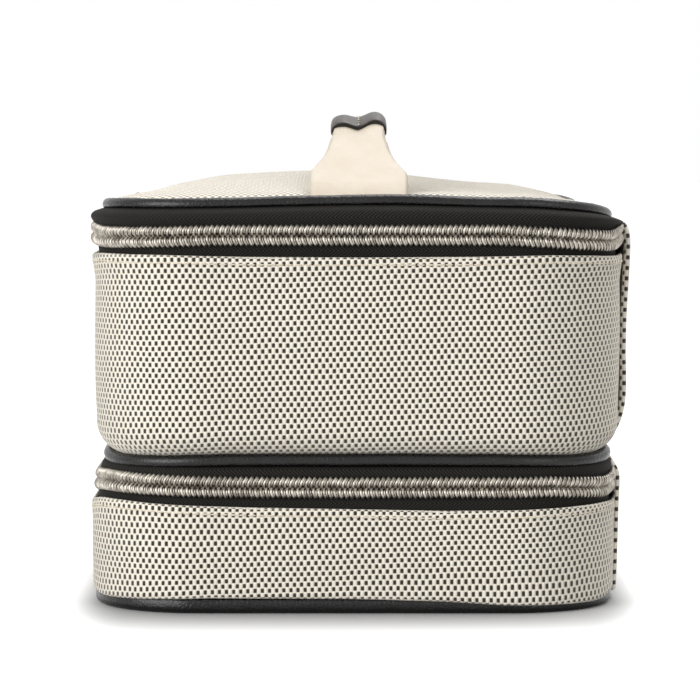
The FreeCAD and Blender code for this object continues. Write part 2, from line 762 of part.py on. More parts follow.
def make_slider(name, side, level):
    body = new_body(name)
    length, height = size.slider_half_length, size.slider_half_height
    waist = height - 1
    shield = (
        (-length, -waist), (-length + 1.2, -height), (length - 1.2, -height), (length, -waist),
        (length, waist), (length - 1.2, height), (-length + 1.2, height), (-length, waist),
    )
    front_block(body, shield, plate_stand, size.slider_plate)
    inner_face = -tape_inside - size.slider_clear
    post_near = length - 0.6
    post_far = post_near - size.post_length
    post = rectangle(post_far, post_near, -size.post_half_height, size.post_half_height)
    if side > 0:
        post = rectangle(-post_near, -post_far, -size.post_half_height, size.post_half_height)
    front_block(body, post, inner_face, plate_stand - inner_face)
    inner_top = size.coil_reach - 0.2
    front_block(body, rectangle(-length, length, -height, inner_top),
                inner_face - size.slider_plate, size.slider_plate)
    flange_top = -size.coil_reach - size.slider_clear
    flange_stand = -canvas_inside + size.slider_clear
    front_block(body, rectangle(-length + 1.2, length - 1.2, -height, flange_top),
                flange_stand, plate_stand - flange_stand)
    lug_out = size.lug_inside + size.lug_width
    lug_height = size.bail_stand + size.bail_radius + 0.3
    for left, right in ((size.lug_inside, lug_out), (-lug_out, -size.lug_inside)):
        front_block(body, rectangle(left, right, -size.lug_half_height, size.lug_half_height),
                    plate_face, lug_height)
    bar = new_sketch(body, "YZ_Plane")
    add_circle(bar, -bail_stand, zero, size.bail_radius)
    pad(body, bar, size.lug_inside * 2 + size.lug_width, symmetric=True)
    put(body, side, level)


def make_pull(name, side, level):
    body = new_body(name)
    half, neck = size.pull_half_width, size.pull_neck
    top = -size.eye_radius + 0.4
    outline = (
        (-neck, top), (-neck, -size.eye_radius - 0.6), (-half, -size.pull_shoulder), (-half, -size.pull_length),
        (half, -size.pull_length), (half, -size.pull_shoulder), (neck, -size.eye_radius - 0.6), (neck, top),
    )
    stand = bail_stand - size.pull_thick / 2
    sketch = new_sketch(body, "XZ_Plane", stand)
    add_polygon(sketch, outline)
    window_low = size.pull_bar - size.pull_length
    add_polygon(sketch, rectangle(-size.window_half_width, size.window_half_width, window_low, -size.window_top))
    pad(body, sketch, size.pull_thick)
    eye = new_sketch(body, "YZ_Plane")
    add_circle(eye, -bail_stand, zero, size.eye_radius)
    pad(body, eye, neck * 2, symmetric=True)
    hole = new_sketch(body, "YZ_Plane")
    add_circle(hole, -bail_stand, zero, size.bail_radius + size.eye_clear)
    bore = body.newObject("PartDesign::Pocket", f"{name}_bore")
    bore.Profile = hole
    bore.SideType = "Symmetric"
    bore.setExpression("Length", (neck * 2 + 2).formula)
    doc.recompute()
    put(body, side, level)


def make_pull_tab(name, side, level):
    """A strip of leather folded round the bar of the pull and sewn to itself."""
    body = new_body(name)
    sketch = new_sketch(body, "YZ_Plane")
    bar_level = size.pull_bar / 2 - size.pull_length
    loop, thin = size.tab_loop_radius, size.tab_half_thick
    y_mid = -bail_stand
    taper, end = -size.tab_taper_end, -size.tab_length
    centre = point(y_mid.value, bar_level.value)
    fold = add_arc(sketch, centre, loop.value, 0, 180)
    path = ((y_mid - loop, bar_level), (y_mid - thin, taper), (y_mid - thin, end),
            (y_mid + thin, end), (y_mid + thin, taper), (y_mid + loop, bar_level))
    lines = []
    for (from_y, from_z), (to_y, to_z) in zip(path, path[1:]):
        lines.append(add_line(sketch, point(from_y.value, from_z.value), point(to_y.value, to_z.value)))
    for before, after in zip(lines, lines[1:]):
        join(sketch, before, 2, after, 1)
    join(sketch, fold, 2, lines[0], 1)
    join(sketch, lines[-1], 2, fold, 1)
    place(sketch, fold, 3, y_mid, bar_level)
    hold(sketch, "Radius", (fold,), loop)
    place(sketch, lines[0], 1, up=bar_level)
    place(sketch, lines[-1], 2, up=bar_level)
    for line, (from_y, from_z) in zip(lines[1:], path[1:]):
        place(sketch, line, 1, from_y, from_z)
    add_circle(sketch, y_mid, bar_level, size.tab_hole_radius)
    pad(body, sketch, size.tab_half_span * 2, symmetric=True)
    put(body, side, level)


def make_zip_hardware():
    for zip_name, level in (("lid", size.lid_zip_level), ("base", size.base_zip_level)):
        for side_name, side in (("left", -1), ("right", 1)):
            make_slider(f"{zip_name}_slider_{side_name}", side, level)
            make_pull(f"{zip_name}_pull_{side_name}", side, level)
            make_pull_tab(f"{zip_name}_tab_{side_name}", side, level)


def check_and_export():
    doc.recompute()
    for item in doc.Objects:
        if {"Invalid", "Error"} & set(item.State):
            raise RuntimeError(f"{item.Name} has state {item.State}")
    os.makedirs("parts", exist_ok=True)
    for item in finished:
        shape = item.Shape
        if shape.isNull() or not shape.isValid() or len(shape.Solids) != 1:
            raise RuntimeError(f"{item.Label} has no single valid solid")
        shape.exportStep(f"parts/{item.Label}.step")


make_base()
make_upper_case()
make_lid()
make_handle()
make_zip_hardware()
check_and_export()
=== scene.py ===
import math
import bmesh
import bpy
import numpy as np
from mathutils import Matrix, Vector, noise


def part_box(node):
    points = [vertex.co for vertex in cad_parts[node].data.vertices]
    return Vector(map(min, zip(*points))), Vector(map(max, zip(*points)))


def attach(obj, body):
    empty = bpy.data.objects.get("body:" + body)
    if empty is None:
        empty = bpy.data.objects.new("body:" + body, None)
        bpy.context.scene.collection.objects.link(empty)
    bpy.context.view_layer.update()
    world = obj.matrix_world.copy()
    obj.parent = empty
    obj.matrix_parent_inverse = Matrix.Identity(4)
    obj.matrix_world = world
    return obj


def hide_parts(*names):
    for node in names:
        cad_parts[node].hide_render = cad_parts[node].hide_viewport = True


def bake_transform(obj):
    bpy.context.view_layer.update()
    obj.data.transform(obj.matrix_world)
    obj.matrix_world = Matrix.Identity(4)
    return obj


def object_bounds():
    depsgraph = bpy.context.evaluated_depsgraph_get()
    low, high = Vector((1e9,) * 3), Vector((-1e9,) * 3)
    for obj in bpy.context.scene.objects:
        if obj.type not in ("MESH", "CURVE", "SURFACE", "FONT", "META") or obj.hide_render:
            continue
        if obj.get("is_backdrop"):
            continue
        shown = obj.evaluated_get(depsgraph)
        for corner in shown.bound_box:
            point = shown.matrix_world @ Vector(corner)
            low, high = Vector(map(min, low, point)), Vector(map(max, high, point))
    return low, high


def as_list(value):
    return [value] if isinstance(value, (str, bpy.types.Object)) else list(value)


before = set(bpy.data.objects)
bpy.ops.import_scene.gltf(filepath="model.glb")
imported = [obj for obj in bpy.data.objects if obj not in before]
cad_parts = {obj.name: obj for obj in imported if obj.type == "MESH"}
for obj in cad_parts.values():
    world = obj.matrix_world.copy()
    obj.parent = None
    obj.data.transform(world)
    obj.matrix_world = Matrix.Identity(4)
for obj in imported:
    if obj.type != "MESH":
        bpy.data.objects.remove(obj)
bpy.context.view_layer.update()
mm = 0.001
print("frame loaded:", len(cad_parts), "CAD nodes")


def smoothStep(low, high, x):
    t = min(1.0, max(0.0, (x - low) / (high - low)))
    return t * t * (3 - 2 * t)


def softWave(x, y, z, size):
    return noise.noise(Vector((x / size, y / size, z / size)))


# finishes

class Tone:  # one shader value; arithmetic on it adds Math nodes
    def __init__(self, finish, socket):
        self.finish = finish
        self.socket = socket

    def math(self, operation, *others):
        return self.finish.node("ShaderNodeMath", {"operation": operation}, [self, *others])

    def after(self, operation, first):
        return self.finish.node("ShaderNodeMath", {"operation": operation}, [first, self])

    def __add__(self, other):
        return self.math("ADD", other)

    def __radd__(self, other):
        return self.math("ADD", other)

    def __sub__(self, other):
        return self.math("SUBTRACT", other)

    def __rsub__(self, other):
        return self.after("SUBTRACT", other)

    def __mul__(self, other):
        return self.math("MULTIPLY", other)

    def __rmul__(self, other):
        return self.math("MULTIPLY", other)

    def __truediv__(self, other):
        return self.math("DIVIDE", other)

    def __rtruediv__(self, other):
        return self.after("DIVIDE", other)

    def __pow__(self, other):
        return self.math("POWER", other)

    def __abs__(self):
        return self.math("ABSOLUTE")

    def step(self, low, high):  # smooth from 0 at low to 1 at high
        return self.finish.node("ShaderNodeMapRange", {"interpolation_type": "SMOOTHSTEP"},
                                [self, low, high])

    def zigzag(self):  # 1 at each whole number, 0 halfway between
        return abs(self - self.math("FLOOR") - 0.5) * 2


class Finish:  # a procedural material around one Principled shader
    def __init__(self, name, **constants):
        self.material = bpy.data.materials.new(name)
        self.material.use_nodes = True
        self.tree = self.material.node_tree
        self.shader = self.tree.nodes["Principled BSDF"]
        self.feed(**constants)

    def node(self, kind, settings=None, sockets=(), out=0):
        made = self.tree.nodes.new(kind)
        for key, value in (settings or {}).items():
            setattr(made, key, value)
        pairs = sockets.items() if isinstance(sockets, dict) else enumerate(sockets)
        for key, value in pairs:
            self.join(value, made.inputs[key])
        return Tone(self, made.outputs[out])

    def join(self, value, target):
        if isinstance(value, Tone):
            self.tree.links.new(value.socket, target)
        else:
            target.default_value = value

    def feed(self, **sockets):  # baseColor=... sets the socket "Base Color"
        for key, value in sockets.items():
            words = "".join(" " + c if c.isupper() else c for c in key)
            title = "Specular IOR Level" if key == "gloss" else words[0].upper() + words[1:]
            self.join(value, self.shader.inputs[title])

    def inMillimetres(self, spot):
        return self.node("ShaderNodeVectorMath", {"operation": "SCALE"}, {0: spot, "Scale": 1 / mm})

    def place(self):  # object coordinates
        return self.inMillimetres(self.node("ShaderNodeTexCoord", out="Object"))

    def cloth(self):  # the piece's own map
        return self.inMillimetres(self.node("ShaderNodeUVMap", {"uv_map": "cloth"}))

    def split(self, vector):
        made = self.node("ShaderNodeSeparateXYZ", None, [vector])
        return [Tone(self, s) for s in made.socket.node.outputs]

    def merge(self, x, y, z=0.0):
        return self.node("ShaderNodeCombineXYZ", None, [x, y, z])

    def grain(self, vector, size, detail, rough=0.5, warp=0.0):  # noise with features of that size
        return self.node("ShaderNodeTexNoise", None, {
            "Vector": vector, "Scale": 1.0 / size, "Detail": detail, "Roughness": rough, "Distortion": warp})

    def cells(self, vector, size, feature):
        sockets = {"Vector": vector, "Scale": 1.0 / size}
        return self.node("ShaderNodeTexVoronoi", {"feature": feature}, sockets, "Distance")

    def mix(self, factor, first, second):
        return self.node("ShaderNodeMix", {"data_type": "RGBA"}, {0: factor, 6: first, 7: second}, 2)

    def tones(self, factor, first, second):  # the same between two sRGB colours
        return self.mix(factor, colour(*first), colour(*second))

    def bump(self, height, depth):
        sockets = {"Strength": 1.0, "Distance": depth * mm, "Height": height}
        self.feed(normal=self.node("ShaderNodeBump", None, sockets))


def colour(r, g, b):  # sRGB 0-255 to a linear shader colour
    def linear(c):
        c = c / 255
        return c / 12.92 if c <= 0.04045 else ((c + 0.055) / 1.055) ** 2.4
    return (linear(r), linear(g), linear(b), 1.0)


weave = dict(column=1.11, repeat=3.36, dotWidth=0.45, dotHeight=0.2, slope=0.03, wobble=0.5, drift=0.7,
             ragged=0.8, relief=0.32, cream=(245, 239, 226), shadowCream=(216, 207, 190), dot=(30, 26, 20),
             dotLight=(54, 48, 39), sheen=(246, 240, 228))


def canvasFinish():
    made = Finish("speckled canvas", gloss=0.25, sheenWeight=1.0, sheenRoughness=0.5,
                  sheenTint=colour(*weave["sheen"]))
    flat = made.cloth()
    u, v, _ = made.split(flat)
    wobble = made.grain(flat, 9.0, 1.0) - 0.5
    drift = made.grain(made.merge(v, u), 14.0, 1.0) - 0.5
    u = u + wobble * weave["wobble"]
    v = v + u * weave["slope"] + drift * weave["drift"]
    column = u / weave["column"]
    index = column.math("FLOOR")
    across = column - index - 0.5
    turn = index.math("FLOORED_MODULO", 2.0)  # every other column stands half a repeat on
    row = v / weave["repeat"] + turn * 0.5
    along = row - row.math("FLOOR") - 0.5
    fibre = made.grain(made.merge(u * 3.0, v * 0.5), 0.5, 2.0)
    ragged = (fibre - 0.5) * weave["ragged"]
    shape = (abs(across) / weave["dotWidth"]) ** 4 + (abs(along) / weave["dotHeight"]) ** 4 + ragged
    dot = shape.step(1.45, 0.6)
    ridge = 1 - across * across * 4
    lot = made.node("ShaderNodeTexWhiteNoise", {"noise_dimensions": "2D"},
                    {"Vector": made.merge(index, row.math("FLOOR"))}, "Value")
    # the cream darkens towards each column's edges: painted shade in the grooves between the yarns; lot and
    # fibre add random tone
    shade = (1 - ridge) * 0.55 + lot * 0.18 + (fibre - 0.5) * 0.5
    cream = made.tones(shade.step(-0.1, 0.9), weave["cream"], weave["shadowCream"])
    dark = made.tones(fibre.step(0.35, 0.75), weave["dot"], weave["dotLight"])
    made.feed(baseColor=made.mix(dot, cream, dark), roughness=0.8 + dot * 0.08)
    pillow = abs(along).step(weave["dotHeight"], 0.42)
    raised = 0.35 + ridge * 0.4 + pillow * 0.25
    sunk = 0.25 + fibre * 0.1
    made.bump((1 - dot) * raised + dot * sunk + (fibre - 0.5) * 0.12, weave["relief"])
    return made.material


def leatherFinish(name, dark, light, shine, gloss, grainSize, grainDepth):
    made = Finish(name, gloss=gloss)
    spot = made.place()
    pores = made.cells(spot, grainSize, "SMOOTH_F1")
    lines = made.cells(spot, grainSize * 1.6, "DISTANCE_TO_EDGE")
    folds = made.grain(spot, grainSize * 5, 3.0, 0.55, 0.6)
    tint = made.grain(spot, 11.0, 3.0, 0.6)
    shade = tint.step(0.3, 0.75) * 0.7 + folds.step(0.35, 0.8) * 0.3
    made.feed(baseColor=made.tones(shade, dark, light),
              roughness=shine + (folds - 0.5) * 0.22 + (pores - 0.4) * 0.1)
    made.bump(lines.step(0.0, 0.22) * 0.5 - pores * 0.35 + folds * 0.9, grainDepth)
    return made.material


twill = dict(band=5.7, turn=7.5, pitch=0.74, angle=math.radians(35), relief=0.16,
             dark=(6, 6, 5), light=(46, 44, 40))


def tapeFinish():
    made = Finish("twill zip tape", gloss=0.15)
    u, v, _ = made.split(made.cloth())
    band = (v - twill["turn"]) / twill["band"] + 0.5
    zig = band.zigzag() * (twill["band"] / 2)
    rib = ((u * math.sin(twill["angle"]) + zig * math.cos(twill["angle"])) / twill["pitch"]).zigzag()
    fibre = made.grain(made.merge(u * 2, v), 0.45, 2.0)
    shade = rib + (fibre - 0.5) * 0.7
    made.feed(baseColor=made.tones(shade.step(0.3, 0.95), twill["dark"], twill["light"]),
              roughness=0.72 + rib * 0.12)
    made.bump(rib * 0.7 + fibre * 0.3, twill["relief"])
    return made.material


def metalFinish(name, dark, light, shine, scratch):
    made = Finish(name, metallic=0.92)
    spot = made.place()
    cloud = made.grain(spot, 2.2, 3.0)
    brushed = made.node("ShaderNodeMapping", None, {0: spot, "Scale": (1.0, 9.0, 1.0)})
    hair = made.grain(brushed, 1.1, 2.0)
    made.feed(baseColor=made.tones(cloud.step(0.3, 0.7), dark, light),
              roughness=shine + (hair - 0.5) * scratch + (cloud - 0.5) * 0.15)
    made.bump(hair * 0.4 + cloud * 0.6, 0.012)
    return made.material


liningTwill = dict(pitch=0.62, relief=0.1, dark=(196, 178, 150), light=(222, 207, 182))


def liningFinish():
    made = Finish("beige lining twill")
    flat = made.cloth()
    u, v, _ = made.split(flat)
    rib = ((u + v) / liningTwill["pitch"]).zigzag()
    fibre = made.grain(flat, 0.4, 2.0)
    cloud = made.grain(flat, 24.0, 2.0)
    shade = rib * 0.35 + fibre * 0.35 + cloud * 0.4
    made.feed(baseColor=made.tones(shade.step(0.2, 0.95), liningTwill["dark"], liningTwill["light"]),
              roughness=0.62 + rib * 0.14)
    made.bump(rib * 0.7 + fibre * 0.3, liningTwill["relief"])
    return made.material


def threadFinish(name, dark, light):
    made = Finish(name)
    spot = made.place()
    x, y, z = made.split(spot)
    twist = ((x + y + z) / 0.42).zigzag()
    fuzz = made.grain(spot, 0.5, 2.0)
    made.feed(baseColor=made.tones(twist * 0.6 + fuzz * 0.4, dark, light), roughness=0.6 + fuzz * 0.25)
    made.bump(twist, 0.05)
    return made.material


def boardFinish(name, dark, light, pulpSize):
    made = Finish(name)
    pulp = made.grain(made.place(), pulpSize, 4.0, 0.65)
    made.feed(baseColor=made.tones(pulp.step(0.3, 0.7), dark, light), roughness=0.85 + pulp * 0.1)
    made.bump(pulp, 0.15)
    return made.material


finishes = dict(
    canvas=canvasFinish(),
    blackLeather=leatherFinish("black leather", (6, 6, 6), (16, 15, 15), shine=0.27, gloss=0.36,
                               grainSize=0.85, grainDepth=0.08),
    # the grip is black leather like the piping; its grey base colours are painted sheen, standing in for the
    # top lamp's highlight
    gripLeatherPaintedSheen=leatherFinish("black grip leather with painted sheen", (52, 48, 45), (86, 80, 75), shine=0.45, gloss=0.5,
                              grainSize=0.7, grainDepth=0.07),
    cutEdge=boardFinish("cut leather edge", (12, 10, 9), (30, 26, 23), pulpSize=0.6),
    creamLeather=leatherFinish("cream leather", (204, 191, 173), (215, 205, 190), shine=0.5, gloss=0.4,
                               grainSize=0.6, grainDepth=0.05),
    tape=tapeFinish(),
    coil=metalFinish("metallised coil", (132, 126, 117), (192, 186, 176), shine=0.36, scratch=0.1),
    coilCore=threadFinish("coil core cord", (112, 105, 96), (150, 142, 131)),
    hardware=metalFinish("gunmetal hardware", (96, 93, 88), (150, 146, 140), shine=0.26, scratch=0.12),
    lining=liningFinish(),
    creamThread=threadFinish("cream thread", (206, 194, 172), (240, 230, 212)),
    blackThread=threadFinish("black thread", (18, 18, 17), (52, 50, 48)),
    board=boardFinish("grey board", (142, 132, 116), (172, 160, 142), pulpSize=1.2),
)
print("finishes ready:", len(finishes))


# mesh builders, all in millimetres

def makePiece(name, points, faces, corners, finish):
    mesh = bpy.data.meshes.new(name)
    mesh.from_pydata([tuple(c * mm for c in p) for p in points], [], faces)
    layer = mesh.uv_layers.new(name="cloth")
    flat = [c * mm for face in corners for uv in face for c in uv]
    layer.data.foreach_set("uv", flat)
    work = bmesh.new()
    work.from_mesh(mesh)
    bmesh.ops.remove_doubles(work, verts=work.verts, dist=1e-7)
    bmesh.ops.recalc_face_normals(work, faces=work.faces)
    work.to_mesh(mesh)
    work.free()
    mesh.shade_smooth()
    mesh.materials.append(finish)
    piece = bpy.data.objects.new(name, mesh)
    bpy.context.collection.objects.link(piece)
    return piece


def unit(vectors):
    length = np.linalg.norm(vectors, axis=-1, keepdims=True)
    return np.where(length > 1e-9, vectors / np.maximum(length, 1e-9), np.array([0.0, 0.0, 1.0]))


def ringTurns(sides):
    return [2 * math.pi * m / sides for m in range(sides)]


def quarterTurn(parts):
    return [math.radians(90 * i / parts) for i in range(parts + 1)]


foldShows = 0.8  # a folded edge shows one column of the weave


def thickSheet(name, grid, thick, flat, finish, closed=False, rims=(True, True), upright=False):
    # grid[k][j] is the sheet's middle, flat[k][j] its place on the uncut cloth
    grid = np.array(grid, float)
    flat = np.array(flat, float)
    count, rows = grid.shape[:2]
    half = np.broadcast_to(np.array(thick, float) / 2, (count, rows))[..., None]
    if closed:
        alongK = np.roll(grid, -1, 0) - np.roll(grid, 1, 0)
    else:
        alongK = np.gradient(grid, axis=0)
    alongJ = np.gradient(grid, axis=1)
    normal = unit(np.cross(alongK, alongJ))
    if upright:
        normal = np.zeros_like(normal) + np.array([0.0, 0.0, math.copysign(1.0, normal[:, 0, 2].mean())])
    outK, outJ = unit(alongK), unit(alongJ)
    points = np.concatenate([grid + normal * half, grid - normal * half]).reshape(-1, 3).tolist()
    faces, corners = [], []

    def front(k, j):
        return (k % count) * rows + j

    def back(k, j):
        return count * rows + front(k, j)

    def add(*entries):  # each entry is (vertex, (u, v))
        faces.append([e[0] for e in entries])
        corners.append([e[1] for e in entries])

    def at(k, j, du=0.0, dv=0.0):
        return (flat[k][j][0] + du, flat[k][j][1] + dv)

    last = rows - 1
    spans = count if closed else count - 1
    for k in range(spans):
        for j in range(last):
            ring = [(k, j), (k + 1, j), (k + 1, j + 1), (k, j + 1)]
            add(*[(front(*c), at(*c)) for c in ring])
            add(*[(back(*c), at(*c)) for c in reversed(ring)])

    edge = {}

    def rimPoint(k, j, side):
        key = (k % count, j)
        if key not in edge:
            k0 = k % count
            way = np.zeros(3)
            if j in (0, last) and (side or not closed):
                if (j == 0 and rims[0]) or (j == last and rims[1]):
                    way = way + (outJ[k0][j] if j == last else -outJ[k0][j])
            if not closed and k0 in (0, count - 1):
                way = way + (outK[k0][j] if k0 else -outK[k0][j])
            way = way / max(np.linalg.norm(way), 1e-9)
            points.append((grid[k0][j] + way * half[k0][j]).tolist())
            edge[key] = len(points) - 1
        return edge[key]

    def rim(a, b, side, du, dv):  # from the front face round the edge to the back face
        rimB, rimA = rimPoint(*b, side), rimPoint(*a, side)
        midA, midB = at(*a, du, dv), at(*b, du, dv)
        add((front(*a), at(*a)), (front(*b), at(*b)), (rimB, midB), (rimA, midA))
        add((rimA, midA), (rimB, midB),
            (back(*b), at(*b, 2 * du, 2 * dv)), (back(*a), at(*a, 2 * du, 2 * dv)))

    for j, keep in ((0, rims[0]), (last, rims[1])):
        if not keep:
            continue
        for k in range(spans):
            a, b = ((k, j), (k + 1, j)) if j else ((k + 1, j), (k, j))
            rim(a, b, True, 0.0, half[k % count][j][0] * (1 if j else -1))
    if not closed:
        for k in (0, count - 1):
            for j in range(last):
                a, b = ((k, j + 1), (k, j)) if k else ((k, j), (k, j + 1))
                rim(a, b, False, min(half[k][j][0], foldShows) * (1 if k else -1), 0.0)
    return makePiece(name, points, faces, corners, finish)


def loftLoops(name, loops, finish, closed=False):
    # loops[k] is a closed cross-section; the ends are capped unless the run closes on itself
    loops = np.array(loops, float)
    count, sides = loops.shape[:2]
    middles = loops.mean(axis=1)
    run = [0.0]
    for k in range(count):
        run.append(run[-1] + float(np.linalg.norm(middles[(k + 1) % count] - middles[k])))
    girth = [0.0]
    for m in range(sides):
        girth.append(girth[-1] + float(np.linalg.norm(loops[0][(m + 1) % sides] - loops[0][m])))
    faces, corners = [], []
    for k in range(count if closed else count - 1):
        for m in range(sides):
            ring = [(k, m), (k + 1, m), (k + 1, m + 1), (k, m + 1)]
            faces.append([(a % count) * sides + b % sides for a, b in ring])
            corners.append([(run[a], girth[b]) for a, b in ring])
    if not closed:
        for k in (0, count - 1):
            faces.append([k * sides + m for m in range(sides)])
            corners.append([(run[k] + math.cos(a), math.sin(a)) for a in ringTurns(sides)])
    return makePiece(name, loops.reshape(-1, 3).tolist(), faces, corners, finish)


# plan of the case

case = dict(length=240.0, depth=166.0, corner=35.0, hingeEdge=84.0, wallEnd=78.0, step=2.6)
cornerX = case["length"] / 2 - case["corner"]  # centres of the plan's corner arcs
cornerY = case["depth"] / 2 - case["corner"]


def planStations(backEdge=None):
    # (x, y, outward x, outward y, distance) from the back edge round the near end, the front and the far end
    hx, hy, r = case["length"] / 2, case["depth"] / 2, case["corner"]
    ax, ay = cornerX, cornerY
    start = 0.0 if backEdge is None else backEdge
    runs = [((start, hy), (ax, hy), 90), ((hx, ay), (hx, -ay), 0), ((ax, -hy), (-ax, -hy), -90),
            ((-hx, -ay), (-hx, ay), -180), ((-ax, hy), (-start, hy), -270)]
    centres = [(ax, ay), (ax, -ay), (-ax, -ay), (-ax, ay)]
    quarter = r * math.pi / 2
    turns = max(8, round(quarter / case["step"]))
    stations = []
    travelled = 0.0
    for leg, (a, b, angle) in enumerate(runs):
        long = math.dist(a, b)
        parts = 2 * round(long / 2 / case["step"]) if leg == 2 else max(1, round(long / case["step"]))
        nx, ny = math.cos(math.radians(angle)), math.sin(math.radians(angle))
        for i in range(parts):
            t = i / parts
            x, y = a[0] + (b[0] - a[0]) * t, a[1] + (b[1] - a[1]) * t
            stations.append((x, y, nx, ny, travelled + long * t))
        travelled += long
        if leg < len(centres):
            cx, cy = centres[leg]
            for i in range(turns):
                way = math.radians(angle - 90 * i / turns)
                nx, ny = math.cos(way), math.sin(way)
                stations.append((cx + r * nx, cy + r * ny, nx, ny, travelled + quarter * i / turns))
            travelled += quarter
    if backEdge is not None:
        stations.append((-start, hy, 0.0, 1.0, travelled))
    return stations, travelled


def insetAt(x, y):  # distance in from the plan outline
    r = case["corner"]
    qx, qy = abs(x) - cornerX, abs(y) - cornerY
    return r - math.hypot(max(qx, 0), max(qy, 0)) - min(max(qx, qy), 0)


def lengths(profile):
    run = [0.0]
    for a, b in zip(profile, profile[1:]):
        run.append(run[-1] + math.dist(a, b))
    return run


def smoothProfile(points, parts):
    # Catmull-Rom through (out, height) points, so a few numbers give a soft curve
    def passing(a, b, c, d, t):
        bend = 2 * a - 5 * b + 4 * c - d
        twist = 3 * b - a - 3 * c + d
        return 0.5 * (2 * b + (c - a) * t + bend * t * t + twist * t ** 3)

    full = [points[0], *points, points[-1]]
    curve = []
    for four in zip(full, full[1:], full[2:], full[3:]):
        for i in range(parts):
            curve.append(tuple(passing(*values, i / parts) for values in zip(*four)))
    return curve + [points[-1]]


def bandAround(name, profile, thick, finish, backEdge=None, shift=None, start=0.0):
    # a strip of cloth round the case; shift(station, out, z) moves points for sag and slack
    stations, total = planStations(backEdge)
    closed = backEdge is None
    run = lengths(profile)
    grid, flat = [], []
    for x, y, nx, ny, s in stations:
        column = []
        for out, z in profile:
            do, dz = shift((x, y, nx, ny, s), out, z) if shift else (0.0, 0.0)
            column.append((x + nx * (out + do), y + ny * (out + do), z + dz))
        grid.append(column)
        flat.append([(s, start + r) for r in run])
    if closed:
        flat.append([(total, start + r) for r in run])
    return thickSheet(name, grid, thick, flat, finish, closed)


def plateSheet(name, inset, height, thick, finish, rings):
    # a filled sheet of the case's plan; height(x, y, inset) gives its middle
    stations, _ = planStations()
    spine = case["length"] / 2 - case["depth"] / 2
    grid, flat = [], []
    for x, y, nx, ny, _ in stations + stations[:1]:
        px, py = x - nx * inset, y - ny * inset
        cx = min(spine, max(-spine, px))
        column, places = [], []
        for i in range(rings + 1):
            t = (i / rings) ** 1.25  # rings lie closer towards the edge
            gx, gy = px + (cx - px) * t, py * (1 - t)
            column.append((gx, gy, height(gx, gy, insetAt(gx, gy))))
            places.append((gy, gx))
        grid.append(column)
        flat.append(places)
    piece = thickSheet(name, grid[:-1], thick, flat, finish, True, (True, False), True)
    form = bmesh.new()
    form.from_mesh(piece.data)
    bmesh.ops.remove_doubles(form, verts=form.verts, dist=0.02 * mm)  # the two halves meet on the middle line
    form.to_mesh(piece.data)
    form.free()
    return piece


def cordAround(name, inset, level, radius, finish, sides=12, backEdge=None):
    # a covered cord round the case; inset(station), level(station), radius(station, turn)
    stations, _ = planStations(backEdge)
    loops = []
    for st in stations:
        x, y, nx, ny, _ = st
        inward, z = inset(st), level(st)
        ring = []
        for turn in ringTurns(sides):
            r = radius(st, turn)
            out = r * math.cos(turn) - inward
            ring.append((x + nx * out, y + ny * out, z + r * math.sin(turn)))
        loops.append(ring)
    return loftLoops(name, loops, finish, backEdge is None)


lean = dict(amount=-1.3, low=30.0, high=48.0)


def leanOver(piece):  # the soft tray stands a little further forward than the case on it
    for v in piece.data.vertices:
        v.co.y += lean["amount"] * mm * (1 - smoothStep(lean["low"], lean["high"], v.co.z / mm))


def bandSheet(profile, backEdge):  # the way round and the profile's length of a strip, worked out and not kept
    around = planStations(backEdge)[1]
    around * mm
    lengths(profile)[-1] * mm


def settle(piece, body, slot, *nodes):
    leanOver(piece)
    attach(piece, body)
    if nodes:
        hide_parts(*nodes)


# what repeats along a seam or a zip

def alongPathTree():
    tree = bpy.data.node_groups.new("units along a path", "GeometryNodeTree")
    face = tree.interface
    for title, kind in (("Path", "Geometry"), ("Unit", "Object"), ("Spacing", "Float"), ("Jitter", "Float"),
                        ("Seed", "Int"), ("Finish", "Material")):
        face.new_socket(title, in_out="INPUT", socket_type="NodeSocket" + kind)
    face.new_socket("Geometry", in_out="OUTPUT", socket_type="NodeSocketGeometry")

    def add(kind, settings=None, links=None):
        node = tree.nodes.new(kind)
        for key, value in (settings or {}).items():
            setattr(node, key, value)
        for key, value in (links or {}).items():
            if isinstance(value, bpy.types.NodeSocket):
                tree.links.new(value, node.inputs[key])
            else:
                node.inputs[key].default_value = value
        return node

    ins = add("NodeGroupInput").outputs
    curve = add("GeometryNodeMeshToCurve", None, {0: ins["Path"]})
    points = add("GeometryNodeResampleCurve", {"mode": "LENGTH"},
                 {"Curve": curve.outputs[0], "Length": ins["Spacing"]})
    tangent = add("GeometryNodeInputTangent")
    turn = add("FunctionNodeAlignRotationToVector", {"axis": "X", "pivot_axis": "Z"},
               {"Vector": tangent.outputs[0]})
    unitInfo = add("GeometryNodeObjectInfo", None, {"Object": ins["Unit"]})
    low = add("ShaderNodeMath", {"operation": "SUBTRACT"}, {0: 1.0, 1: ins["Jitter"]})
    high = add("ShaderNodeMath", {"operation": "ADD"}, {0: 1.0, 1: ins["Jitter"]})
    size = add("FunctionNodeRandomValue", {"data_type": "FLOAT"},
               {2: low.outputs[0], 3: high.outputs[0], "Seed": ins["Seed"]})
    units = add("GeometryNodeInstanceOnPoints", None, {
        "Points": points.outputs[0], "Instance": unitInfo.outputs["Geometry"], "Rotation": turn.outputs[0],
        "Scale": size.outputs[1]})
    solid = add("GeometryNodeRealizeInstances", None, {0: units.outputs[0]})
    painted = add("GeometryNodeSetMaterial", None, {"Geometry": solid.outputs[0], "Material": ins["Finish"]})
    out = add("NodeGroupOutput")
    tree.links.new(painted.outputs[0], out.inputs[0])
    return tree


pathTree = alongPathTree()


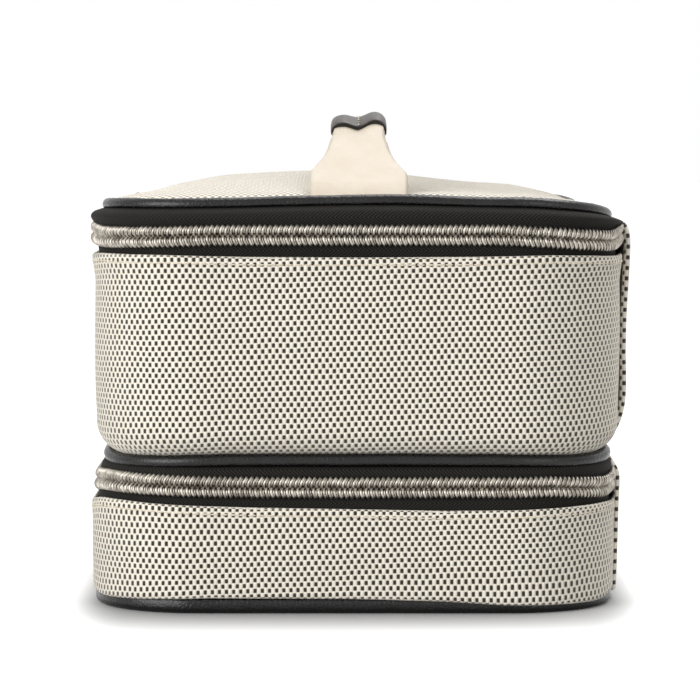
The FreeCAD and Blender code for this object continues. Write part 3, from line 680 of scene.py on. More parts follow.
def repeatAlong(name, paths, unitPiece, spacing, finish, jitter=0.0, seed=1):
    # paths are lists of points in millimetres; returns one plain mesh of units along them
    points, edges = [], []
    for path in paths:
        first = len(points)
        points += [tuple(c * mm for c in p) for p in path]
        edges += [(first + i, first + i + 1) for i in range(len(path) - 1)]
    track = bpy.data.meshes.new(name + "Path")
    track.from_pydata(points, edges, [])
    guide = bpy.data.objects.new(name + "Path", track)
    bpy.context.collection.objects.link(guide)
    tool = guide.modifiers.new("units", "NODES")
    tool.node_group = pathTree
    values = dict(Unit=unitPiece, Spacing=spacing * mm, Jitter=jitter, Seed=seed, Finish=finish)
    for item in pathTree.interface.items_tree:
        if item.item_type == "SOCKET" and item.in_out == "INPUT" and item.name in values:
            tool[item.identifier] = values[item.name]
    guide.update_tag()
    graph = bpy.context.evaluated_depsgraph_get()
    mesh = bpy.data.meshes.new_from_object(guide.evaluated_get(graph))
    guide.modifiers.remove(tool)
    bpy.data.objects.remove(guide)
    mesh.name = name
    mesh.shade_smooth()
    piece = bpy.data.objects.new(name, mesh)
    bpy.context.collection.objects.link(piece)
    return piece


def unitMesh(name, loops):
    piece = loftLoops(name, loops, finishes["board"])
    piece.hide_render = True
    return piece


stitch = dict(length=2.35, width=0.62, pitch=2.9, end=80.0, rings=6, sides=6)


def stitchUnit(name, long, wide):
    # a short thread, plump in the middle and dipping at both ends
    loops = []
    for i in range(stitch["rings"]):
        t = i / (stitch["rings"] - 1)
        fat = wide / 2 * (0.35 + 0.65 * math.sin(math.pi * t) ** 0.5)
        turns = ringTurns(stitch["sides"])
        loops.append([(long * (t - 0.5), fat * math.cos(a), fat * math.sin(a)) for a in turns])
    return unitMesh(name, loops)


hemStitch = stitchUnit("hemStitchUnit", stitch["length"], stitch["width"])
units = [hemStitch]

# slack and sag shared by the pieces that meet

# pairs are where an effect starts and where it is full
lidSlack = dict(level=1.2, pullWidth=40.0, pullSide=6.0, pullEnds=(70, 112),
                front=1.0, frontMiddle=(-100, -45), frontEdge=(60, 76),
                back=3.9, backPower=1.6, backEdge=(44, 62), farBack=0.2,
                far=2.5, farEnd=(70, 110), reach=116.0, corner=2.4, cornerEdge=(45, 75),
                rimFrom=4, rimReach=40, rimShort=8, rimBack=(-20, 40), spreadX=1.03, spreadY=1.04,
                tilt=4.2, tiltBack=(-20, 70), tiltRun=(4, 40))


def farFall(x):  # the whole lid lies a little lower towards its far end
    return lidSlack["far"] * (lidSlack["reach"] - x) / (2 * lidSlack["reach"])


def lidDroop(x, y):  # how far the lid seam hangs below its level; the handle's tabs hold it up
    s = lidSlack
    held = smoothStep(*s["pullEnds"], abs(x)) * math.exp(-((y - s["pullSide"]) / s["pullWidth"]) ** 2)
    turn = math.atan2(max(0.0, y - cornerY), max(1e-6, abs(x) - cornerX)) / (math.pi / 2)
    rear = turn ** s["backPower"] * smoothStep(*s["backEdge"], y)
    front = smoothStep(*s["frontMiddle"], -abs(x)) * smoothStep(*s["frontEdge"], -y)
    far = smoothStep(*s["farEnd"], -x)
    corner = far * smoothStep(*s["cornerEdge"], -y)
    return (s["level"] * (1 - held) + rear * s["back"] * (1 - s["farBack"] * far) + front * s["front"]
            + corner * s["corner"] + farFall(x))


def rimDroop(x, y, d):  # the same for the flat of the lid, dying out away from the seam
    s = lidSlack
    reach = s["rimReach"] - s["rimShort"] * smoothStep(*s["rimBack"], y)
    return lidDroop(x * s["spreadX"], y * s["spreadY"]) * (1 - smoothStep(s["rimFrom"], reach, d))


endFade = (84, 104)  # seams sag at the two ends only, clear of the sliders' run


def endSag(line, x, y):  # a seam's small unevenness at the two ends, from (y, lift) points
    return float(np.interp(y, *zip(*line))) * smoothStep(*endFade, abs(x))


wallSlack = dict(flare=1.2, flareRun=9, bulge=0.45, wave=0.35, waveSize=38.0, footHold=14, hemHold=7,
                 hemStill=0.7, sagRun=20)


def wallWave(x, y, z, top, bottom):  # soft unevenness of a padded wall, still at its seams
    s = wallSlack
    hold = smoothStep(bottom, bottom + s["footHold"], z)
    hold *= 1 - smoothStep(top - s["hemHold"], top, z) * s["hemStill"]
    return hold * (s["wave"] * softWave(x, y, z, s["waveSize"])
                   + s["bulge"] * math.sin(math.pi * (z - bottom) / (top - bottom)))


# upper case: canvas wall

upperWall = dict(top=110.4, bottom=48.9, turn=8.5, flange=11.0, thick=1.0, hem=1.9, waveFrom=6,
                 hemLine=[(-80, 0.7), (-60, 0.7), (-35, 0.2), (0, 0), (35, 0.2), (60, 0.6), (72, 0.2),
                          (80, -0.3)],
                 footLine=[(-80, -1.2), (-70, -1.0), (-52, -0.3), (-40, 0), (40, 0), (55, -0.4),
                           (70, -0.9), (80, -0.9)])


def upperWallProfile():
    w = upperWall
    half = w["thick"] / 2
    r = w["turn"] - half
    profile = [(-w["flange"], w["bottom"] + half)]
    for a in quarterTurn(10):
        profile.append((-w["turn"] + r * math.sin(a), w["bottom"] + w["turn"] - r * math.cos(a)))
    steps = 26
    z0 = profile[-1][1]
    for i in range(1, steps + 1):
        z = z0 + (w["top"] - z0) * i / steps
        flare = wallSlack["flare"] * smoothStep(w["top"] - wallSlack["flareRun"], w["top"], z)
        profile.append((-half + flare, z))
    return profile


def upperShift(st, out, z):
    w, run = upperWall, wallSlack["sagRun"]
    lift = endSag(w["hemLine"], st[0], st[1]) * smoothStep(w["top"] - run, w["top"], z)
    lift += endSag(w["footLine"], st[0], st[1]) * (1 - smoothStep(w["bottom"], w["bottom"] + run, z))
    return wallWave(st[0], st[1], z, w["top"], w["bottom"] + w["waveFrom"]), lift


upperCanvas = bandAround("upperCanvas", upperWallProfile(), upperWall["thick"], finishes["canvas"],
                         case["wallEnd"], upperShift)
settle(upperCanvas, "upper_case", "canvas", "upper_wall_canvas")

# base tray: canvas wall and leather foot

lowerWall = dict(top=32.3, bottom=5.2, thick=1.0, hem=1.9, flare=0.4, cloth=140.0, sagMeets=0.4,
                 waveShare=0.6,
                 hemLine=[(-80, 1.9), (-72, 1.9), (-63, 1.5), (-48, 1.0), (-30, 0.5), (0, 0), (28, -0.5),
                          (50, -0.35), (64, 0), (80, 0.35)],
                 footLine=[(-80, -1.3), (-72, -0.9), (-60, -0.3), (-45, 0.2), (0, 0), (28, -0.8), (46, -1.9),
                           (60, -2.2), (75, -2.4), (83, -2.1)])


def lowerWallProfile():
    w = lowerWall
    steps = 18
    profile = []
    for i in range(steps + 1):
        z = w["bottom"] + (w["top"] - w["bottom"]) * i / steps
        flare = w["flare"] * smoothStep(w["top"] - wallSlack["flareRun"], w["top"], z)
        profile.append((-w["thick"] / 2 + flare, z))
    return profile


def lowerShift(st, out, z):
    w = lowerWall
    share = (z - w["bottom"]) / (w["top"] - w["bottom"])
    lift = endSag(w["hemLine"], st[0], st[1]) * smoothStep(w["sagMeets"], 1.0, share)
    lift += endSag(w["footLine"], st[0], st[1]) * (1 - smoothStep(0.0, w["sagMeets"], share))
    return wallWave(st[0], st[1], z, w["top"], w["bottom"]) * w["waveShare"], lift


lowerCanvas = bandAround("lowerCanvas", lowerWallProfile(), lowerWall["thick"], finishes["canvas"],
                         case["wallEnd"], lowerShift, lowerWall["cloth"])
settle(lowerCanvas, "base", "canvas", "base_wall_canvas")

foot = dict(height=5.6, proud=-0.8, turn=1.7, under=12.0, underLevels=(0.75, 0.68), thick=1.3, ripple=0.14,
            lift=0.1, panelInset=11.6, panelLevel=0.62, panelThick=0.9, panelWave=0.12, panelRings=16)


def footProfile():
    f = foot
    side = f["proud"] - f["thick"] / 2
    r = f["turn"] - f["thick"] / 2
    profile = [(-f["under"], f["underLevels"][0]), (-f["under"] / 2, f["underLevels"][1])]
    for a in quarterTurn(8):
        profile.append((f["proud"] - f["turn"] + r * math.sin(a), f["turn"] - r * math.cos(a)))
    profile += [(side + 0.05, 2.8), (side - 0.12, 3.7), (side - 0.55, 4.5), (side - 1.1, f["height"] - 0.4)]
    return profile


def footShift(st, out, z):
    ripple = foot["ripple"] * softWave(st[0], st[1], z * 3, 9.0)
    lift = foot["lift"] * softWave(st[0] + 50, st[1], 0, 21.0) * smoothStep(1, 4, z)
    return ripple, lift


footLeather = bandAround("footLeather", footProfile(), foot["thick"], finishes["blackLeather"], None,
                         footShift)
settle(footLeather, "base", "black_leather", "base_trim")


def undersideHeight(x, y, d):
    return foot["panelLevel"] + foot["panelWave"] * softWave(x, y, 3.0, 26.0) * smoothStep(12, 24, d)


footPanel = plateSheet("footPanel", foot["panelInset"], undersideHeight, foot["panelThick"],
                       finishes["blackLeather"], foot["panelRings"])
settle(footPanel, "base", "black_leather", "base_panel")
print("walls and foot made")

# pipings between the tiers and round the lid

piping = dict(lidInset=4.0, lidLevel=128.2, lidRadius=1.95, lidWave=0.25, midInset=4.2, midLevel=47.6,
              midRadius=2.1, midWave=0.2, wander=0.25, crease=0.05, swell=0.04)


def pipingRadius(base, seed):
    def radius(st, turn):
        crease = piping["crease"] * softWave(st[0] + seed, st[1], 6 * math.cos(turn), 2.6)
        swell = piping["swell"] * softWave(st[0], st[1] + seed, 4 * math.sin(turn), 11.0)
        return base * (1 + crease + swell)
    return radius


def lidPipingLevel(st):
    return piping["lidLevel"] - lidDroop(st[0], st[1]) + piping["lidWave"] * softWave(st[0], st[1], 2, 24)


def midPipingLevel(st):
    sag = endSag(upperWall["footLine"], st[0], st[1])
    return piping["midLevel"] + sag + piping["midWave"] * softWave(st[0], st[1], 5, 24)


def makePiping(name, place, level, seeds, body, node):
    inset, radius = piping[place + "Inset"], piping[place + "Radius"]

    def wander(st):
        return inset + piping["wander"] * softWave(st[0], st[1], seeds[0], 30)

    piece = cordAround(name, wander, level, pipingRadius(radius, seeds[1]), finishes["blackLeather"])
    settle(piece, body, "black_leather", node)


makePiping("lidPiping", "lid", lidPipingLevel, (7, 3.0), "lid", "lid_piping")
makePiping("midPiping", "mid", midPipingLevel, (9, 11.0), "upper_case", "mid_piping")

welt = dict(thick=0.5, profile=[(-14.0, 48.3), (-10.0, 48.35), (-7.0, 48.4), (-4.6, 48.7)])


def weltShift(st, out, z):
    return 0.0, endSag(upperWall["footLine"], st[0], st[1])


midWelt = bandAround("midPipingWelt", welt["profile"], welt["thick"], finishes["blackLeather"], None,
                     weltShift)
settle(midWelt, "upper_case", "black_leather")

# lid: crowned padded top

crown = dict(rimInset=4.9, rimLevel=129.1, edgeRise=1.75, edgeRun=3.4, rise=4.4, run=78.0, power=1.25,
             thick=1.0, wave=0.35, waveSize=34.0, waveRun=(6, 24), rings=34)


def crownHeight(x, y, d):
    t = min(1.0, max(0.0, (d - crown["rimInset"]) / crown["run"]))
    tilt = lidSlack["tilt"] * smoothStep(*lidSlack["tiltBack"], y) * smoothStep(*lidSlack["tiltRun"], d)
    soft = crown["wave"] * softWave(x, y, 1.0, crown["waveSize"]) * smoothStep(*crown["waveRun"], d)
    dome = crown["rise"] * (1 - (1 - t) ** crown["power"])
    dome += crown["edgeRise"] * (1 - math.exp(-max(0.0, d - crown["rimInset"]) / crown["edgeRun"]))
    return crown["rimLevel"] - crown["thick"] / 2 + dome - rimDroop(x, y, d) - tilt + soft


lidTop = plateSheet("lidTop", crown["rimInset"], crownHeight, crown["thick"], finishes["canvas"],
                    crown["rings"])
settle(lidTop, "lid", "canvas", "lid_canvas", "lid_foam")
print("lid crown and pipings made")

# zip tapes

tapes = dict(thick=0.7, end=79.0, wave=0.22, waveSize=20, puff=0.5, puffSize=22, puffFrom=(119.5, 123),
             puffTo=(125.5, 127.4), lidFall=(118.5, 127.5))
lidTapeProfile = smoothProfile([(-4.4, 127.1), (-2.6, 126.6), (0.2, 125.6), (1.3, 124.2), (1.1, 122.8),
                                (0.4, 121.5), (-0.35, 120.0), (-0.65, 118.4)], 3)
upperTapeProfile = smoothProfile([(-1.45, 102.6), (-1.45, 107.2), (-1.3, 110.6), (-1.1, 113.2),
                                  (-0.65, 117.0)], 4)
underTapeProfile = smoothProfile([(-9.6, 46.6), (-7.4, 46.4), (-5.2, 46.0), (-3.9, 45.5), (-2.4, 44.6),
                                  (-2.1, 43.2), (-2.4, 41.8), (-2.7, 40.0)], 4)
baseTapeProfile = smoothProfile([(-1.9, 24.0), (-1.9, 29.5), (-1.9, 32.6), (-2.2, 35.5), (-2.7, 38.4)], 4)


def lidTapeShift(st, out, z):
    fall = lidDroop(st[0], st[1]) * smoothStep(*tapes["lidFall"], z)
    puff = smoothStep(*tapes["puffFrom"], z) * (1 - smoothStep(*tapes["puffTo"], z))
    return puff * tapes["puff"] * softWave(st[0], st[1], 4, tapes["puffSize"]), -fall


def tapeShift(low, high):
    def shift(st, out, z):
        wave = tapes["wave"] * softWave(st[0], st[1], z, tapes["waveSize"])
        return wave * smoothStep(low, high, z), 0.0
    return shift


for name, profile, shift, body, node, on in (
        ("lidTape", lidTapeProfile, lidTapeShift, "lid", "lid_zip_tape", "lidPiping"),
        ("upperTape", upperTapeProfile, tapeShift(110, 113), "upper_case", "upper_zip_tape", "upperCanvas"),
        ("underTape", underTapeProfile, tapeShift(40.5, 43), "upper_case", "under_zip_tape", "midPiping"),
        ("baseTape", baseTapeProfile, tapeShift(31, 34), "base", "base_zip_tape", "lowerCanvas")):
    tape = bandAround(name, profile, tapes["thick"], finishes["tape"], tapes["end"], shift)
    settle(tape, body, "zip_tape", node)
    bandSheet(profile, tapes["end"])

# zip coils

# a turn's points are (along in pitches, across from the zip's middle, out): head in the groove, then ridge
coil = dict(pitch=1.63, wire=(0.92, 0.8), bedWire=(0.66, 0.6), sides=6,
            core=0.45, coreFlat=1.1, coreSides=8, coreAcross=1.6, coreInset=0.1,
            lidOut=0.3, lidLevel=117.8, baseOut=-1.2, baseLevel=39.3,
            lidLine=[(-80, -1.2), (-60, -0.6), (-45, 0), (45, 0), (60, -0.9), (72, -1.9), (80, -2.5)],
            baseLine=[(-80, 0.8), (-60, 0.6), (-40, 0.2), (0, 0), (60, 0.1), (72, -0.8), (80, -1.6)],
            turn=[(0.0, -0.25, -0.2), (0.0, 0.25, 0.0), (0.0, 0.65, 0.5), (-0.01, 1.1, 0.92),
                  (-0.12, 1.8, 1.0), (-0.3, 2.4, 0.85), (-0.46, 2.9, 0.45), (-0.54, 3.2, -0.1),
                  (-0.56, 2.9, -0.55), (-0.62, 2.0, -0.65), (-0.76, 1.0, -0.6), (-0.94, 0.1, -0.3)],
            bed=[(0.5, 0.7, 0.3), (0.5, 1.05, 0.62), (0.46, 1.6, 0.8), (0.36, 2.1, 0.76), (0.22, 2.6, 0.45),
                 (0.12, 2.9, -0.1)])


def coilTurn(name, up, turn, wire, runsOn):
    # one slanted turn; x runs along the zip, y out of the case, z across the zip
    count = len(turn)
    centres = []
    for i in range(-1, count + 2) if runsOn else range(count):
        along, across, out = turn[i % count]
        centres.append([coil["pitch"] * (along - i // count), out, up * across])
    steps = list(zip(centres, unit(np.gradient(np.array(centres), axis=0))))
    loops = []
    for centre, way in steps[1:-1] if runsOn else steps:
        side = unit(np.cross(way, np.array([1.0, 0.0, 0.0])))
        high, wide = side * wire[1] / 2, np.cross(way, side) * wire[0] / 2
        loops.append([centre + math.cos(a) * high + math.sin(a) * wide for a in ringTurns(coil["sides"])])
    return unitMesh(name, loops)


coilUnits = {}
for up, word in ((1, "Up"), (-1, "Down")):
    coilUnits[up] = [coilTurn(f"coil{word}Unit", up, coil["turn"], coil["wire"], True),
                     coilTurn(f"coilBed{word}Unit", up, coil["bed"], coil["bedWire"], False)]
    units += coilUnits[up]


def zipPath(out, level, line, offset):
    # clockwise from above, so that the units' y points out of the case; offset makes the two halves mesh
    stations, _ = planStations(case["hingeEdge"])
    path = [(x + nx * out, y + ny * out, level + endSag(line, x, y)) for x, y, nx, ny, s in stations]
    for end in (0, -1):
        path[end] = (path[end][0] + offset, *path[end][1:])
    return path


def makeCoil(name, up, place, body, node):
    out, level, line = coil[place + "Out"], coil[place + "Level"], coil[place + "Line"]
    path = zipPath(out, level, line, 0.0 if up > 0 else coil["pitch"] / 2)
    turnUnit, bedUnit = coilUnits[up]
    piece = repeatAlong(name, [path], turnUnit, coil["pitch"], finishes["coil"])
    settle(piece, body, "zip_coil", node)
    bed = repeatAlong(name + "Bed", [path], bedUnit, coil["pitch"], finishes["coil"])
    settle(bed, body, "zip_coil")

    def coreLevel(st):
        return level + endSag(line, st[0], st[1]) + up * coil["coreAcross"]

    def coreRadius(st, turn):
        return coil["core"] * (1 + coil["coreFlat"] * abs(math.sin(turn)))

    core = cordAround(name + "Core", lambda st: coil["coreInset"] - out, coreLevel, coreRadius,
                      finishes["coilCore"], coil["coreSides"], case["hingeEdge"])
    settle(core, body, "zip_coil")


makeCoil("lidCoil", 1, "lid", "lid", "lid_zip_coil")
makeCoil("upperCoil", -1, "lid", "upper_case", "upper_zip_coil")
makeCoil("underCoil", 1, "base", "upper_case", "under_zip_coil")
makeCoil("baseCoil", -1, "base", "base", "base_zip_coil")
print("zips made")

# hinge panels of canvas at the back, one over each hinge

hinge = dict(thick=2.0, wave=0.25, waveSize=27, columns=56, flatter=0.35, cloth=200.16, axis=84.3,
             upperBend=(111.5, 124.1), lowerBend=(33.0, 45.6), upperCloth=0.0, lowerCloth=300.0)
upperHingeProfile = smoothProfile([(-4.2, 120.3), (-1.5, 120.6), (0.7, 120.3), (2.2, 119.2), (3.0, 116.6),
                                   (3.15, 112.5), (2.75, 104.0), (1.95, 92.0), (1.75, 80.0), (1.9, 70.0),
                                   (1.3, 62.0), (-0.8, 55.5), (-4.2, 51.2), (-8.0, 49.4)], 3)
lowerHingeProfile = smoothProfile([(-4.4, 46.0), (-2.4, 44.4), (-0.4, 42.0), (0.6, 39.3), (1.0, 34.0),
                                   (0.85, 25.0), (0.5, 14.0), (0.25, 7.0), (0.0, 3.4)], 3)


def hingePanel(name, profile, clothStart):
    run = lengths(profile)
    edge = case["hingeEdge"]
    grid, flat = [], []
    for i in range(hinge["columns"] + 1):
        x = -edge + 2 * edge * i / hinge["columns"]
        ease = 1 - hinge["flatter"] * (1 - (x / edge) ** 2)  # the panel lies flatter in its middle
        column = []
        for out, z in profile:
            ripple = hinge["wave"] * softWave(x, 90, z, hinge["waveSize"])
            column.append((x, case["depth"] / 2 + out * ease + ripple, z))
        grid.append(column)
        flat.append([(x + hinge["cloth"], clothStart + r) for r in run])
    piece = thickSheet(name, grid, hinge["thick"], flat, finishes["canvas"])
    leanOver(piece)
    return piece


for place, profile, bodies, nodes, walls in (
        ("upper", upperHingeProfile, ("upper_case", "lid"), ("upper_back_panel", "lid_back_panel"),
         ["upperCanvas", "lidTop"]),
        ("lower", lowerHingeProfile, ("base", "upper_case"), ("base_back_panel", "under_back_panel"),
         ["lowerCanvas", "upperCanvas"])):
    panel = hingePanel(place + "Hinge", profile, hinge[place + "Cloth"])
    start, end = [(0, hinge["axis"] * mm, z * mm) for z in hinge[place + "Bend"]]
    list(bodies)
    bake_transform(panel)
    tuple(start)
    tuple(end)
    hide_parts(*nodes)
    wide, long = 2 * case["hingeEdge"], lengths(profile)[-1]
    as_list(walls)
print("hinge panels made")

# carrying handle

handle = dict(top=153.35, flat=58.0, bend=40.0, slope=24.0, end=115.4, dip=109.0, dipBend=0.065, thick=2.6,
              tabThick=1.7, tabFrom=(72, 82), thinFrom=(84, 100), side=0.5, lead=2.0, stops=120, edgeRow=0.3,
              widths=[(0, 8.4), (73, 8.5), (80, 8.9), (84.5, 9.3), (90.5, 10.2), (95.3, 11.4), (100.5, 13.4),
                      (104, 14.9), (106, 15.2), (116, 15.25)])


def strapLine(x):  # height and slope angle of the strap's middle at x
    far = abs(x)
    slope = math.radians(handle["slope"])
    bendEnd = handle["flat"] + handle["bend"] * math.sin(slope)
    if far <= handle["flat"]:
        return handle["top"], 0.0
    if far <= bendEnd:
        a = math.asin((far - handle["flat"]) / handle["bend"])
        return handle["top"] - handle["bend"] * (1 - math.cos(a)), math.copysign(a, x)
    drop = handle["bend"] * (1 - math.cos(slope)) + (far - bendEnd) * math.tan(slope)
    drop += handle["dipBend"] * max(0.0, far - handle["dip"]) ** 2  # the tab's end turns down into the seam
    return handle["top"] - drop, math.copysign(slope, x)


def onCurve(points, x):  # a soft curve through (x, value) points
    curve = smoothProfile(points, 8)
    for (x0, y0), (x1, y1) in zip(curve, curve[1:]):
        if x0 <= x <= x1 and x1 > x0:
            return y0 + (y1 - y0) * (x - x0) / (x1 - x0)
    return points[-1][1] if x > points[-1][0] else points[0][1]


def onStrap(x, across, lift):
    z, angle = strapLine(x)
    return (x + lift * math.sin(angle), across + handle["side"], z + lift * math.cos(angle) - farFall(x))


# the wrap's top across the strap: two uneven lobes with a sewn crease that deepens to the wrap's ends
grip = dict(half=71.8, wrap=1.5, under=-3.3, width=9.0, crease=1.05, endCrease=1.6, creaseWidth=5.2,
            creaseEnds=(54, 72), ripple=0.08, cutIn=0.22, cutRun=0.25, stops=100,
            seamLift=0.12, seamInset=1, seamPitch=2.7,
            dome=[(-9.0, -1.2), (-8.5, 0.5), (-7.0, 1.6), (-4.5, 2.05), (0.0, 2.4), (4.8, 2.95), (7.0, 2.5),
                  (8.5, 1.0), (9.0, -0.8)])


def gripTop(x, across):
    depth = grip["crease"] + (grip["endCrease"] - grip["crease"]) * smoothStep(*grip["creaseEnds"], abs(x))
    return onCurve(grip["dome"], across) - depth * (1 - smoothStep(0.0, grip["creaseWidth"], abs(across)))


def strapTop(x, across):  # the strap follows the wrap's creased shape and lies flat again at its tabs
    creased = gripTop(min(abs(x), grip["half"]), across) - grip["wrap"]
    level = handle["thick"] / 2
    return creased + (level - creased) * smoothStep(*handle["tabFrom"], abs(x))


def evenStops(end, parts):
    return [-end + 2 * end * i / parts for i in range(parts + 1)]


# close rows keep the strap's edges crisp
strapStops = evenStops(handle["end"], handle["stops"])
strapStops.insert(1, strapStops[0] + handle["edgeRow"])
strapStops.insert(-1, strapStops[-1] - handle["edgeRow"])
strapShares = [-1.0, -0.97, *[2 * j / 16 - 1 for j in range(1, 16)], 0.97, 1.0]
strapGrid, strapThick, strapFlat = [], [], []
for x in strapStops:
    thinner = smoothStep(*handle["thinFrom"], abs(x))
    thick = handle["thick"] + (handle["tabThick"] - handle["thick"]) * thinner
    ahead = [onCurve(handle["widths"], abs(x) + lead) - thick / 2 for lead in (handle["lead"], 0.0)]
    across = [(ahead[0] if share < 0 else ahead[1]) * share for share in strapShares]
    strapGrid.append([onStrap(x, w, strapTop(x, w) - handle["thick"] / 2) for w in across])
    strapThick.append([thick] * len(across))
    strapFlat.append([(x, w) for w in across])
strap = thickSheet("handleStrap", strapGrid, strapThick, strapFlat, finishes["creamLeather"])
settle(strap, "lid", "cream_leather", "handle_strap")
nearMiddle = 8  # the strap's length is taken along this row
strapRun = lengths([(p[nearMiddle][0], p[nearMiddle][2]) for p in strapGrid])
strapCut = sum((b - a) * (row[-1][1] - row[0][1]) for a, b, row in zip(strapRun, strapRun[1:], strapFlat))
strapCut * mm * mm


def gripSection(x, shrink=0.0):
    section = []
    for i in range(33):
        w = grip["width"] * math.sin(math.pi * (i / 32 - 0.5))
        section.append((w, gripTop(x, w) + grip["ripple"] * softWave(x, w * 2, 3, 9)))
    for i in range(1, 14):  # back underneath
        a = math.pi * i / 14
        w = grip["width"] * math.copysign(abs(math.cos(a)) ** 0.4, math.cos(a))
        section.append((w, -1.0 + (grip["under"] + 1.0) * math.sin(a) ** 0.5))
    narrow = 1 - shrink / grip["width"]
    return [onStrap(x, w * narrow, h - shrink * (1 if h > -1 else -1)) for w, h in section]


gripStops = evenStops(grip["half"], grip["stops"])
gripLoops = [gripSection(x, grip["cutIn"] if x in (gripStops[0], gripStops[-1]) else 0.0) for x in gripStops]
gripLoops.insert(1, gripSection(gripStops[0] + grip["cutRun"]))
gripLoops.insert(-1, gripSection(gripStops[-1] - grip["cutRun"]))
# the wrap's grey base colour is painted sheen
gripPiece = loftLoops("handleGrip", gripLoops, finishes["gripLeatherPaintedSheen"])
gripPiece.data.materials.append(finishes["cutEdge"])
for face in gripPiece.data.polygons:
    if len(face.vertices) > 4:  # the wrap's two cut ends
        face.material_index = 1
        face.use_smooth = False
settle(gripPiece, "lid", "black_leather", "handle_grip")
print("handle made")

# linings

linings = dict(padThick=1.9, waves=0.35, rings=16, lidInset=6.3, lidLevel=126.0, lidThick=0.6, lidPucker=0.25,
               boardInset=6.4, boardLevel=127.2, boardThick=1.4, boardRings=12, bindingThick=1.1,
               bindingEnd=83.0, padRows=18)


def padShift(low, high):
    def shift(st, out, z):
        hold = smoothStep(low, low + 10, z) * (1 - smoothStep(high - 5, high, z))
        return hold * linings["waves"] * softWave(st[0] * 1.4, st[1] * 1.4, z * 0.5, 16), 0.0
    return shift


def padProfile(low, top, turn, inner):
    mid = -(inner - linings["padThick"] / 2)
    profile = []
    for a in quarterTurn(6):
        profile.append((mid - turn * (1 - math.sin(a)), low + turn * (1 - math.cos(a))))
    for i in range(1, linings["padRows"] + 1):
        profile.append((mid, low + turn + (top - low - turn) * i / linings["padRows"]))
    return profile


for name, profile, window, body, node in (
        ("upperLiningPad", padProfile(53.0, 109.8, 7.0, 3.8), (56, 111), "upper_case", "upper_wall_foam"),
        ("baseLiningPad", padProfile(3.6, 30.9, 2.0, 4.3), (5, 32), "base", "base_wall_foam")):
    pad = bandAround(name, profile, linings["padThick"], finishes["lining"], None, padShift(*window))
    settle(pad, body, "lining", node)


def puckered(level, amount, size):
    def height(x, y, d):
        return level + amount * softWave(x, y, level, size) * smoothStep(4, 16, d)
    return height


for name, inset, level, pucker, thick, held, body, node, on in (
        ("upperLiningFloor", 9.4, 53.1, 0.25, 0.6, "laid", "upper_case", "upper_lining", "floor_board"),
        ("baseLiningFloor", 4.2, 3.5, 0.2, 0.6, "laid", "base", "base_lining", "base_board"),
        ("trayCeiling", 10.6, 49.9, 0.2, 0.7, "stretched", "upper_case", "floor_underside", "floor_board")):
    sheet = plateSheet(name, inset, puckered(level, pucker, 30), thick, finishes["lining"], linings["rings"])
    settle(sheet, body, "lining", node)


def lidUnder(level, amount):
    flat = puckered(level, amount, 28)
    return lambda x, y, d: flat(x, y, d) - rimDroop(x, y, d)


lidInside = plateSheet("lidLining", linings["lidInset"], lidUnder(linings["lidLevel"], linings["lidPucker"]),
                       linings["lidThick"], finishes["lining"], linings["rings"])
settle(lidInside, "lid", "lining", "lid_lining")
lidBoard = plateSheet("lidBoard", linings["boardInset"], lidUnder(linings["boardLevel"], 0.0),
                      linings["boardThick"], finishes["board"], linings["boardRings"])
settle(lidBoard, "lid", "board", "lid_board")
bindingProfile = smoothProfile([(-5.3, 126.2), (-5.4, 124.5), (-5.3, 122.0), (-5.4, 119.9)], 3)
seamBinding = bandAround("lidSeamBinding", bindingProfile, linings["bindingThick"], finishes["tape"],
                         linings["bindingEnd"], lidTapeShift)
settle(seamBinding, "lid", "binding", "lid_seam_binding")
print("linings made")

# seams

def surfacePath(out, level, backEdge, shift):
    stations, _ = planStations(backEdge)
    path = []
    for st in stations:
        do, dz = shift(st, out, level)
        path.append((st[0] + st[2] * (out + do), st[1] + st[3] * (out + do), level + dz))
    return path[::-1]


def profileOut(profile, level, half):  # how far out a profile's outer face lies at that level
    for (a, z0), (b, z1) in zip(profile, profile[1:]):
        if min(z0, z1) <= level <= max(z0, z1) and abs(z1 - z0) > 1e-6:
            return a + (b - a) * (level - z0) / (z1 - z0) + half
    return half


for name, wall, profile, shift, body, seed in (
        ("upperHemStitches", upperWall, upperWallProfile(), upperShift, "upper_case", 3),
        ("lowerHemStitches", lowerWall, lowerWallProfile(), lowerShift, "base", 5)):
    level = wall["top"] - wall["hem"]
    path = surfacePath(profileOut(profile, level, wall["thick"] / 2), level, stitch["end"], shift)
    hem = repeatAlong(name, [path], hemStitch, stitch["pitch"], finishes["creamThread"], 0.06, seed)
    settle(hem, body, "canvas")
gripSeam = []
for x in evenStops(grip["half"] - grip["seamInset"], 60):
    gripSeam.append(onStrap(x, 0.0, gripTop(x, 0.0) + grip["seamLift"]))
gripStitches = repeatAlong("gripStitches", [gripSeam], hemStitch, grip["seamPitch"], finishes["creamThread"],
                           0.05, 7)
settle(gripStitches, "lid", "cream_leather")
print("seams made")

# zip hardware: the metal keeps its CAD shape, the leather tabs are made new

pullTab = dict(bar=9.3, loop=1.3, gap=0.46, skin=0.8, join=4.2, length=30.8, half=3.6, topHalf=3.0, sway=1.3,
               y=-87.6, cornerFrom=0.55, cornerRise=1.5, seam=1.1, seamLow=2.4, seamHigh=0.2, seamLift=0.05,
               stitchLength=1.5, stitchWidth=0.4, stitchPitch=2.0)
tabStitch = stitchUnit("tabStitchUnit", pullTab["stitchLength"], pullTab["stitchWidth"])
units.append(tabStitch)


def tabSway(level, z):  # the tab hangs in towards the wall at its lower end
    return pullTab["sway"] * (1 - smoothStep(level - pullTab["length"], level - pullTab["bar"], z))


